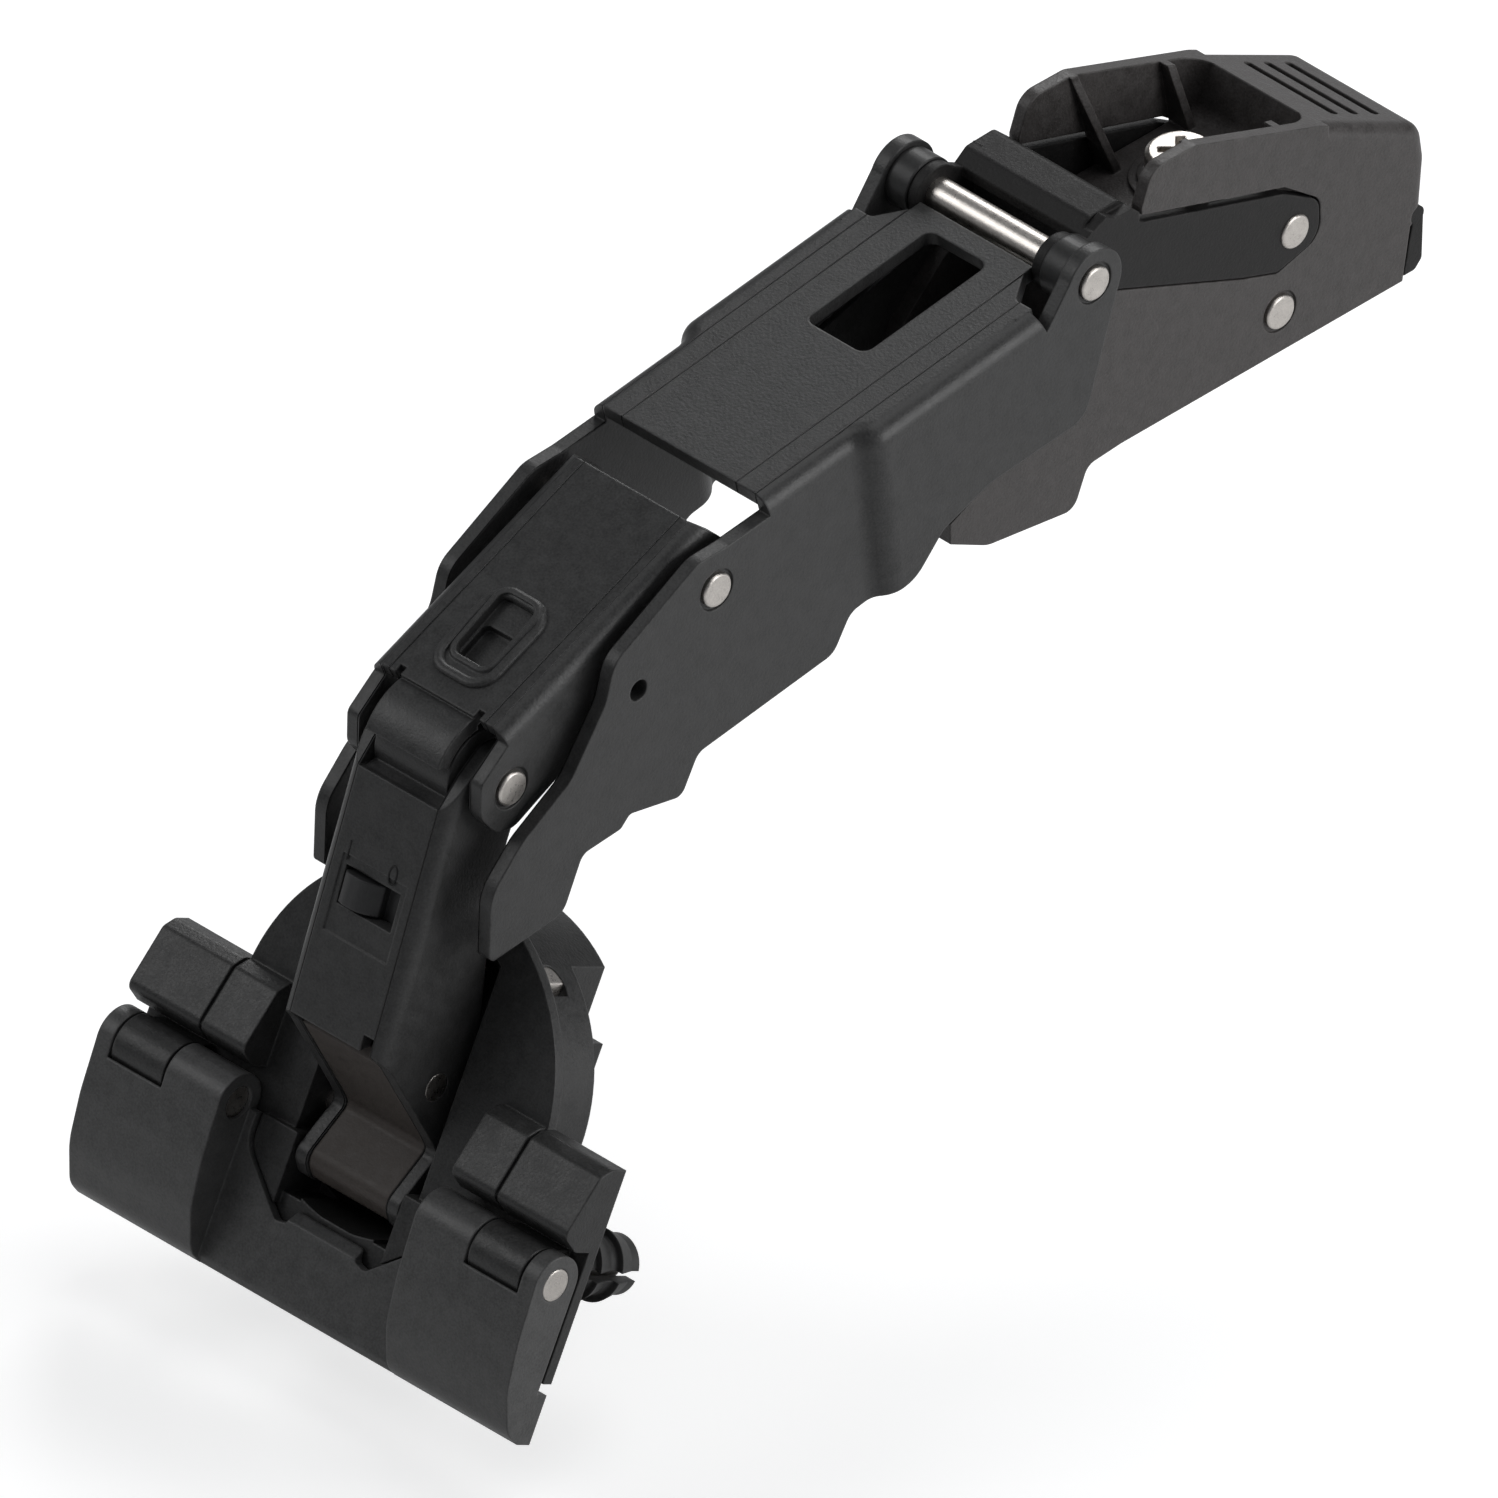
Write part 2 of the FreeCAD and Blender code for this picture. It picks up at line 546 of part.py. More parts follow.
def middle_link():
    """pressed channel that hangs in the lever and holds the knuckle"""
    rear, front = MIDDLE_WEB_REAR, MIDDLE_WEB_FRONT
    length = MIDDLE_LENGTH
    cheek = [(rear, middle_web_b(rear)), (front, middle_web_b(front)), (front + 0.2, 4.6),
             (length + 2.6, 3.6, 1), (length + MIDDLE_EAR_R, 0.5, 2), (length + 3.4, -4.2, 3),
             (length - 4.6, -4.2, 4), (6.0, -4.4, 6), (-1.5, -4.6, 3.4), (-4.6, 0.5, 3)]
    body = pressed_channel(cheek, MIDDLE_HALF, cheek[:2], BEND_R)
    body = body.fuse(ring_sector(middle_web_b(front) - 0.1, SHEET, TONGUE_TIP, 112, TONGUE_HALF))
    relief = box(TONGUE_HALF, TONGUE_HALF + 0.8, -front - 1, -front + 0.9, 3.5, 9)
    body = body.cut(both_sides(relief))
    low = DISH_A - DISH_LENGTH / 2
    high = DISH_A + DISH_LENGTH / 2
    crown = middle_web_b(DISH_A)
    rim = rounded_block(low, high, crown - SHEET - 0.8, crown + 0.5, DISH_HALF, 1.8)
    rim = rim.makeChamfer(0.3, [e for e in rim.Edges if e.CenterOfMass.z > crown + 0.5 - 1e-6])
    body = body.fuse(rim)
    inner = DISH_HALF - DISH_RIM
    body = body.cut(rounded_block(low + DISH_RIM, high - DISH_RIM, crown - 0.6, crown + 3, inner, 1.1))
    body = body.cut(rounded_block(DISH_A - 0.4, high - DISH_RIM, crown - 1.5, crown + 3, inner - 0.2, 0.7))
    body = body.cut(x_cylinder(SIDE_PIN_R + FIT, -20, 20, 0, 0))
    body = body.cut(x_cylinder(SIDE_PIN_R, -20, 20, -length, 0))
    body = body.cut(pin_seats(MIDDLE_HALF, -length, 0))
    return place_link(body.removeSplitter(), LEVER_PIN, MIDDLE_ANGLE)


# The inner link

def plate_b(a):
    return PLATE_TOP_B + (PLATE_LOW_B - PLATE_TOP_B) * (a - PLATE_TOP_A) / (PLATE_LOW_A - PLATE_TOP_A)


def hook_edge(inset):
    """front edge of the hooked ends, from under the cover plate to the tip"""
    length = INNER_LENGTH
    return [(PLATE_LOW_A + 1.6, 9.6 - inset), (length - 3.4, 3.0 - inset, 1.5), (length - 1.6, 1.9 - inset, 1.0),
            (length + 2.6, 6.9 - inset * 1.4, 1.6), (length + 5.6 - inset, 5.6 - inset, 1.6)]


def inner_link():
    """channel with the cover plate, the switch slot and the hooked ends on the cup's pivot"""
    length = INNER_LENGTH
    cheek = [(-1.0, 3.5), (PLATE_TOP_A, plate_b(PLATE_TOP_A)), (PLATE_LOW_A, plate_b(PLATE_LOW_A))]
    cheek += hook_edge(0)
    cheek += [(length + 5.4, -1.2, 3), (length + 1.0, -4.2, 3), (length - 8, -2.0, 6), (12, -1.4, 10),
              (3.2, -3.7, 3), (-3.2, -3.2, 3), (-3.4, 1.0, 2)]
    body = pressed_channel(cheek, INNER_HALF, cheek[1:3], BEND_R - 0.3)
    inside = INNER_HALF - SHEET
    roller = x_cylinder(BARREL_R, -TONGUE_HALF, TONGUE_HALF, 0, 0)
    bridge = link_slab([(0.5, 1.5), (PLATE_TOP_A, PLATE_TOP_B - 0.6), (PLATE_TOP_A + 1.4, PLATE_TOP_B - 0.6),
                        (4.0, 1.5)], -TONGUE_HALF, TONGUE_HALF)
    body = body.fuse(roller.fuse(bridge))
    table = link_slab([(SLOT_A - 1.0, plate_b(SLOT_A - 1.0) - 0.15), (SLOT_A - 1.0, 20), (SLOT_A + 6.6, 20),
                       (SLOT_A + 6.6, plate_b(SLOT_A + 6.6) - 0.15)], -SLOT_HALF - 0.6, SLOT_HALF + 0.6)
    body = body.cut(table)
    slot = plan_prism([(-SLOT_HALF, -SLOT_A), (SLOT_HALF, -SLOT_A), (SLOT_HALF, -SLOT_A - SLOT_LENGTH),
                       (-SLOT_HALF, -SLOT_A - SLOT_LENGTH)], 4, 14)
    body = body.cut(slot)
    relief = plan_prism([(inside - 1.3, -PLATE_LOW_A + 1.6), (inside, -PLATE_LOW_A + 1.6), (inside, -length),
                         (inside - 1.3, -length)], 7.5, 14)
    body = body.cut(relief)
    body = body.cut(x_cylinder(SIDE_PIN_R + FIT, -20, 20, 0, 0))
    body = body.cut(x_cylinder(SIDE_PIN_R + FIT, -20, 20, -length, 0))
    body = body.cut(x_cylinder(CAM_PIN_R, -20, 20, -CAM_PIN_A, CAM_PIN_B))
    return place_link(body.removeSplitter(), KNUCKLE, INNER_ANGLE)


def cam_link():
    """hardened cam that fills the space between the inner link's hooks"""
    length = INNER_LENGTH
    half = INNER_HALF - SHEET - 0.1
    shape = [(PLATE_LOW_A + 0.6, 4.0), (PLATE_LOW_A + 0.6, 8.9)] + hook_edge(0.15)
    shape += [(length + 5.0, -1.0, 3), (length + 1.0, -3.9, 3), (length - 8, -1.9, 4), (PLATE_LOW_A + 0.6, 0.2, 1)]
    cam = link_slab(shape, -half, half)
    cam = cam.cut(x_cylinder(SIDE_PIN_R + FIT, -20, 20, -length, 0))
    cam = cam.cut(x_cylinder(CAM_PIN_R, -20, 20, -CAM_PIN_A, CAM_PIN_B))
    return place_link(cam, KNUCKLE, INNER_ANGLE)


def cam_pin():
    shape = x_cylinder(CAM_PIN_R, -INNER_HALF, INNER_HALF, -CAM_PIN_A, CAM_PIN_B)
    return place_link(shape, KNUCKLE, INNER_ANGLE)


def damper_body():
    """soft-close unit between the inner link's cheeks"""
    half = INNER_HALF - SHEET - REST_GAP
    shape = [(6.0, -1.2, 0.8), (6.0, 3.4, 0.8), (PLATE_LOW_A - 1.0, 5.6, 0.8), (PLATE_LOW_A - 1.0, -0.6, 0.8)]
    return place_link(link_slab(shape, -half, half), KNUCKLE, INNER_ANGLE)


def switch_slider():
    """slide switch that turns the soft closing on or off: rounded knob on a thin foot"""
    middle = SLOT_A + SLOT_LENGTH / 2
    base = plate_b(middle)
    tilt = -math.degrees(math.atan((PLATE_LOW_B - PLATE_TOP_B) / (PLATE_LOW_A - PLATE_TOP_A)))
    length = SLOT_LENGTH - 0.7
    left = -SLOT_HALF + 0.25
    right = SLOT_HALF - SWITCH_TRAVEL - 0.25
    under = -SHEET - REST_GAP
    profile = [(left, under - 0.2), (left, 0.1, 0.5), (left + 0.9, 0.5, 1.5), (right - 1.6, 0.5, 2),
               (right, -0.9), (right, under - 0.2)]
    wire = outline(profile, lambda x, b: V(x, length / 2, b))
    knob = Part.Face(wire).extrude(V(0, -length, 0))
    foot = box(-SLOT_HALF - 1.2, right + 1.4, -SLOT_LENGTH / 2 - 0.9, SLOT_LENGTH / 2 + 0.9, under - 0.7, under)
    slider = knob.fuse(foot)
    slider.Placement = FreeCAD.Placement(V(0, -middle, base), FreeCAD.Rotation(X_AXIS, tilt))
    return place_link(slider.common(box(-20, 20, -60, 20, -20, 40)), KNUCKLE, INNER_ANGLE)


# The cup

def disc(radius, low_n, high_n):
    return Part.makeCylinder(radius, high_n - low_n, V(0, 0, low_n))


def cup_wing(side):
    """bevelled block beside the cup, with a seam across it"""
    face = [(WING_TOP_U, 0.2), (WING_TOP_U, 1.9, 0.9), (1.6, 3.3, 0.8), (-4.4, 5.5, 1.0), (WING_LOW_U, 3.2, 0.6),
            (WING_LOW_U, 0.2)]
    inner, outer = sorted((side * WING_INNER, side * PLATE_HALF))
    wing = side_slab(face, inner, outer)
    seam = box(side * WING_SEAM - 0.2, side * WING_SEAM + 0.2, -8, 4, 0, 8)
    deep = side_slab([(WING_TOP_U - 0.3, 0), (WING_TOP_U - 0.3, 1.7), (1.3, 2.9), (-4.3, 5.0),
                      (WING_LOW_U + 0.3, 3.0), (WING_LOW_U + 0.3, 0)], inner - 1, outer + 1)
    return wing.cut(seam.cut(deep))


def cup_knuckle_span():
    """where the cup's knuckle starts and ends beside the flap's outer knuckle"""
    high = PLATE_HALF - FLAP_END - REST_GAP
    return high - CUP_KNUCKLE, high


def cup_knuckle(side):
    """knuckle on the flange that carries one flap pin"""
    first, last = cup_knuckle_span()
    low, high = sorted((side * first, side * last))
    barrel = x_cylinder(FLAP_BARREL_R, low, high, FLAP_PIN_U, FLAP_PIN_N)
    stem = box(low, high, FLAP_PIN_U - 1.3, FLAP_PIN_U + 2.6, PLATE_THICK / 2, FLAP_PIN_N)
    return barrel.fuse(stem)


def cup():
    """die-cast cup with its flange, wings and inside walls"""
    low = PLATE_LOW_U
    plate = disc(RIM_R, 0, PLATE_THICK).common(box(-40, 40, low, 40, -1, 5))
    plate = plate.fuse(box(-PLATE_HALF, PLATE_HALF, low, WING_TOP_U, 0, PLATE_THICK))
    body = plate.fuse(disc(CUP_R, -SIDE_WALL_DEPTH, 0.1))
    core = disc(CUP_R, -CUP_DEPTH, 0.1)
    waist = box(-CORE_HALF, CORE_HALF, -40, 8, -20, 1).fuse(box(-CORE_TIP_HALF, CORE_TIP_HALF, 7, 40, -20, 1))
    body = body.fuse(core.common(waist))
    cavity = disc(CUP_R - CUP_WALL, -CUP_DEPTH + CUP_FLOOR, 10)
    room = box(-CAVITY_HALF, CAVITY_HALF, THROAT_U, 40, -20, 20)
    room = room.fuse(box(-THROAT_HALF, THROAT_HALF, -CUP_R + CUP_WALL + 0.1, THROAT_U + 1, -20, 20))
    body = body.cut(cavity.common(room))
    body = body.cut(both_sides(box(TONGUE_HALF, THROAT_HALF, -15.45, -12, -4, PLATE_THICK + 2)))
    ridge_half = FLAP_CUT_HALF - REST_GAP
    ridge = plan_prism([(THROAT_HALF, THROAT_U), (ridge_half, THROAT_U), (ridge_half + 0.1, -12.8, 3),
                        (THROAT_HALF, -16.6)], PLATE_THICK / 2, PLATE_THICK + 0.9)
    body = body.fuse(both_sides(ridge))
    for side in (-1, 1):
        body = body.fuse(cup_wing(side)).fuse(cup_knuckle(side))
    body = body.cut(x_cylinder(FLAP_PIN_R, -40, 40, FLAP_PIN_U, FLAP_PIN_N))
    body = body.cut(x_cylinder(SIDE_PIN_R, -12, 12, CUP_PIN_U, CUP_PIN_N))
    body = body.cut(x_cylinder(GUIDE_PIN_R, -12, 12, GUIDE_PIN_U, GUIDE_PIN_N))
    return place_door(body.removeSplitter())


def dowel(side):
    """split expanding dowel with barbed rings"""
    x = side * DOWEL_X
    body = Part.makeCylinder(DOWEL_R - 0.7, DOWEL_LENGTH, V(x, DOWEL_U, -DOWEL_LENGTH))
    for step in range(3):
        low = -1.6 - 3.1 * step
        body = body.fuse(Part.makeCone(DOWEL_R - 0.7, DOWEL_R, 2.2, V(x, DOWEL_U, low - 2.2)))
    body = body.cut(Part.makeCylinder(CORE_R + 0.4, DOWEL_LENGTH + 2, V(x, DOWEL_U, -DOWEL_LENGTH - 1)))
    slit = box(x - 6, x + 6, DOWEL_U - 0.5, DOWEL_U + 0.5, -DOWEL_LENGTH - 1, -3)
    return place_door(body.cut(slit))


def expander(side):
    """wedge core that spreads its dowel when the flap is pressed down"""
    length = DOWEL_LENGTH - 1.2
    core = Part.makeCylinder(CORE_R, length, V(side * DOWEL_X, DOWEL_U, -DOWEL_LENGTH + 0.7))
    return place_door(core)


def flap_pad(side):
    """curved pad of the locking flap with its knuckles beside the cup's"""
    seat = PLATE_THICK + REST_GAP
    profile = [(FLAP_PIN_U, FLAP_PIN_N + FLAP_BARREL_R), (-15.0, 6.9, 12), (-20.0, 6.0, 8), (-24.2, 3.8, 3),
               (FLAP_LOW_U, 2.0, 0.8), (FLAP_LOW_U, 0.1), (PLATE_LOW_U - 1.1, 0.1), (PLATE_LOW_U - 1.1, seat),
               (FLAP_PIN_U, seat)]
    inner, outer = sorted((side * FLAP_PAD_INNER, side * PLATE_HALF))
    pad = side_slab(profile, inner, outer)
    pad = pad.fuse(x_cylinder(FLAP_BARREL_R, inner, outer, FLAP_PIN_U, FLAP_PIN_N))
    first, last = cup_knuckle_span()
    low, high = sorted((side * (first - REST_GAP), side * (last + REST_GAP)))
    return pad.cut(x_cylinder(FLAP_BARREL_R + REST_GAP, low, high, FLAP_PIN_U, FLAP_PIN_N))


def flap():
    """locking flap: two curved pads, a thin middle panel and knuckles on the flap pins"""
    seat = PLATE_THICK + REST_GAP
    low = FLAP_LOW_U
    body = flap_pad(-1).fuse(flap_pad(1))
    panel = side_slab([(FLAP_PIN_U - 0.6, seat), (FLAP_PIN_U - 0.6, FLAP_PANEL_N), (low + 0.8, FLAP_PANEL_N, 0.6),
                       (low, 2.0, 0.5), (low, 0.1), (PLATE_LOW_U - 1.1, 0.1), (PLATE_LOW_U - 1.1, seat)],
                      -FLAP_PAD_INNER - 0.1, FLAP_PAD_INNER + 0.1)
    body = body.fuse(panel)
    half = FLAP_CUT_HALF
    right = [(half, -5), (half + 0.2, -12.8, 3), (5.8, -17.9, 0.7), (4.4, -17.6, 0.5), (4.2, -16.3, 0.4)]
    left = [(-point[0],) + tuple(point[1:]) for point in reversed(right)]
    body = body.cut(plan_prism(right + left, -2, 9))
    bevel = [(-16.2, seat - 0.1), (-17.4, FLAP_PANEL_N + 0.1), (-16.2, FLAP_PANEL_N + 0.1)]
    body = body.cut(side_slab(bevel, -4.4, 4.4))
    body = body.cut(x_cylinder(FLAP_PIN_R + FIT, -40, 40, FLAP_PIN_U, FLAP_PIN_N))
    return place_door(body.removeSplitter())


def flap_pins():
    half = PLATE_HALF
    rod = x_cylinder(FLAP_PIN_R, FLAP_PAD_INNER + 0.4, half, FLAP_PIN_U, FLAP_PIN_N)
    return place_door(both_sides(rod))


def main():
    os.makedirs("parts", exist_ok=True)
    save(arm_housing(), "arm_housing")
    save(front_carrier(), "front_carrier")
    save(rod_washers(), "rod_washers")
    save(depth_screw(), "depth_screw")
    save(side_screw(), "side_screw")
    save(release_lever(), "release_lever")
    save(pin(LEVER_HALF, ROD_Y, ROD_Z, ROD_R, PIN_SINK - FIT), "hinge_rod")
    save(pin(ARM_HALF, STRAP_PIN_Y, STRAP_PIN_Z, SIDE_PIN_R, 0), "strap_pin")
    save(pin(ARM_HALF, HOOK_PIN_Y, HOOK_PIN_Z, SIDE_PIN_R, PIN_SINK), "hook_pin")
    save(outer_lever(), "outer_lever")
    lever_pin = pin(LEVER_NOSE_HALF, 0, 0, SIDE_PIN_R, PIN_SINK)
    save(place_link(lever_pin, LEVER_PIN, 0), "lever_pin")
    save(middle_link(), "middle_link")
    knuckle_pin = pin(MIDDLE_HALF, 0, 0, SIDE_PIN_R, PIN_SINK)
    save(place_link(knuckle_pin, KNUCKLE, 0), "knuckle_pin")
    save(inner_link(), "inner_link")
    save(cam_link(), "cam_link")
    save(cam_pin(), "cam_pin")
    save(damper_body(), "damper_body")
    save(switch_slider(), "switch_slider")
    save(cup(), "cup")
    cup_pin = x_cylinder(SIDE_PIN_R, -CORE_TIP_HALF, CORE_TIP_HALF, 0, 0)
    save(place_link(cup_pin, CUP_PIN, 0), "cup_pin")
    guide_pin = x_cylinder(GUIDE_PIN_R, -11, 11, GUIDE_PIN_U, GUIDE_PIN_N)
    guide_pin = guide_pin.common(disc(CUP_R - FIT, -CUP_DEPTH, 0))
    save(place_door(guide_pin), "guide_pin")
    save(dowel(-1), "dowel_left")
    save(dowel(1), "dowel_right")
    save(expander(-1), "expander_left")
    save(expander(1), "expander_right")
    save(flap(), "flap")
    save(flap_pins(), "flap_pins")


main()
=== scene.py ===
import json
import logging
import math
from dataclasses import dataclass
from enum import Enum

import bmesh
import bpy
from mathutils import Matrix, Vector


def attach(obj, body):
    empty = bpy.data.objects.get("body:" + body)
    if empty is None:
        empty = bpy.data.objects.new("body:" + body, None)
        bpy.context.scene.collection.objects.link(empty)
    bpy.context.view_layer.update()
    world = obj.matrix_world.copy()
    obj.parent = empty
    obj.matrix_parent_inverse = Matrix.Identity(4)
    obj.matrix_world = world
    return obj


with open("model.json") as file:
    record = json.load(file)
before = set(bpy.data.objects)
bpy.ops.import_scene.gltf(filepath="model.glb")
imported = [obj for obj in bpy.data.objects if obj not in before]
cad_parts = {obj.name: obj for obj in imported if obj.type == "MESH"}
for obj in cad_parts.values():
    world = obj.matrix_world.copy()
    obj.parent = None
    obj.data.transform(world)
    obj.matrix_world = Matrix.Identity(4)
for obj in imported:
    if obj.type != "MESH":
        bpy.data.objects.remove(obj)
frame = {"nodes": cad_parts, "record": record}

LOG = logging.getLogger("concealed_hinge")

AIM = Vector((0.0, -0.05595, -0.0188))
TOWARDS_CAMERA = Vector((1.0, -1.0, 1.0)).normalized()
VIEW_WIDTH = 0.1374
FLOOR_Z = -0.062
FLOOR_HALF = 4.0
FLOOR_LIFT = 0.45  # extra light of the floor where the camera sees it
SURROUND_LEVEL = 0.20


class Slot(Enum):
    """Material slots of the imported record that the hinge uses."""

    HOUSING = "housing"
    CARRIER = "carrier"
    LEVER = "lever"
    CUP = "cup"
    FLAP = "flap"
    CAM = "cam"
    PIN = "pin"
    WASHER = "washer"
    SCREW = "screw"
    DAMPER = "damper"
    DOWEL = "dowel"
    CORE = "core"


@dataclass(frozen=True)
class Finish:
    """Look of one surface treatment.

    Args:
        light: colour of the lighter patches, linear RGB.
        dark: colour of the darker patches, linear RGB.
        highlight_colour: colour of the painted highlight that lightens sharp edges, linear RGB.
        metallic: metal share of the surface.
        rough_low: roughness of the smoothest patches.
        rough_high: roughness of the dullest patches.
        grain: number of colour patches per metre.
        pitted: strength of the fine surface relief.
        highlight_share: share of the painted highlight colour on sharp edges.
        gloss: level of the reflection.
    """

    light: tuple[float, float, float]
    dark: tuple[float, float, float]
    highlight_colour: tuple[float, float, float]
    metallic: float
    rough_low: float
    rough_high: float
    grain: float
    pitted: float
    highlight_share: float
    gloss: float = 0.35


FINISHES: dict[Slot, Finish] = {
    Slot.HOUSING: Finish((0.066, 0.061, 0.060), (0.034, 0.031, 0.030), (0.15, 0.14, 0.135), 0.0, 0.34, 0.54,
                         700.0, 0.45, 0.40, 0.40),
    Slot.CARRIER: Finish((0.022, 0.021, 0.021), (0.010, 0.010, 0.010), (0.08, 0.078, 0.076), 0.0, 0.42, 0.60,
                         700.0, 0.35, 0.35, 0.20),
    Slot.LEVER: Finish((0.044, 0.044, 0.044), (0.026, 0.026, 0.026), (0.11, 0.109, 0.108), 0.0, 0.32, 0.48,
                       650.0, 0.28, 0.38),
    Slot.CUP: Finish((0.036, 0.036, 0.036), (0.020, 0.020, 0.020), (0.12, 0.119, 0.118), 0.0, 0.32, 0.50,
                     650.0, 0.35, 0.42),
    Slot.FLAP: Finish((0.080, 0.080, 0.080), (0.050, 0.050, 0.050), (0.15, 0.149, 0.148), 0.0, 0.32, 0.48,
                      650.0, 0.30, 0.42),
    Slot.CAM: Finish((0.066, 0.056, 0.050), (0.044, 0.037, 0.033), (0.11, 0.10, 0.09), 0.1, 0.44, 0.60,
                     900.0, 0.16, 0.25),
    Slot.PIN: Finish((0.68, 0.645, 0.605), (0.54, 0.51, 0.48), (0.76, 0.73, 0.69), 1.0, 0.26, 0.40,
                     900.0, 0.05, 0.30),
    Slot.WASHER: Finish((0.030, 0.030, 0.030), (0.022, 0.022, 0.022), (0.08, 0.08, 0.08), 0.0, 0.35, 0.48,
                        900.0, 0.06, 0.25),
    Slot.SCREW: Finish((0.075, 0.073, 0.072), (0.045, 0.044, 0.043), (0.20, 0.195, 0.19), 1.0, 0.30, 0.44,
                       800.0, 0.10, 0.35),
    Slot.DAMPER: Finish((0.036, 0.036, 0.037), (0.029, 0.029, 0.030), (0.06, 0.06, 0.06), 0.0, 0.42, 0.55,
                        600.0, 0.10, 0.10),
    Slot.DOWEL: Finish((0.036, 0.036, 0.036), (0.028, 0.028, 0.028), (0.06, 0.06, 0.06), 0.0, 0.45, 0.58,
                       600.0, 0.10, 0.10),
    Slot.CORE: Finish((0.36, 0.35, 0.33), (0.26, 0.25, 0.24), (0.50, 0.48, 0.46), 1.0, 0.30, 0.44,
                      800.0, 0.05, 0.20),
}

# Distances from the middle plane of the fine lines pressed along each side of a link's web; the lines are drawn with a
# bump and painted shade.
PRESSED_LINES: dict[str, tuple[float, ...]] = {
    "outer_lever": (0.0074, 0.0099),
    "middle_link": (0.0062, 0.0073),
    "inner_link": (0.0052,),
}
# Near-black look of the on and off marks: painted shade that stands for the shade in their engraved grooves.
MARK_SHADE = Finish((0.008, 0.008, 0.008), (0.005, 0.005, 0.005), (0.03, 0.03, 0.03), 0.0, 0.5, 0.6,
                     900.0, 0.05, 0.10)


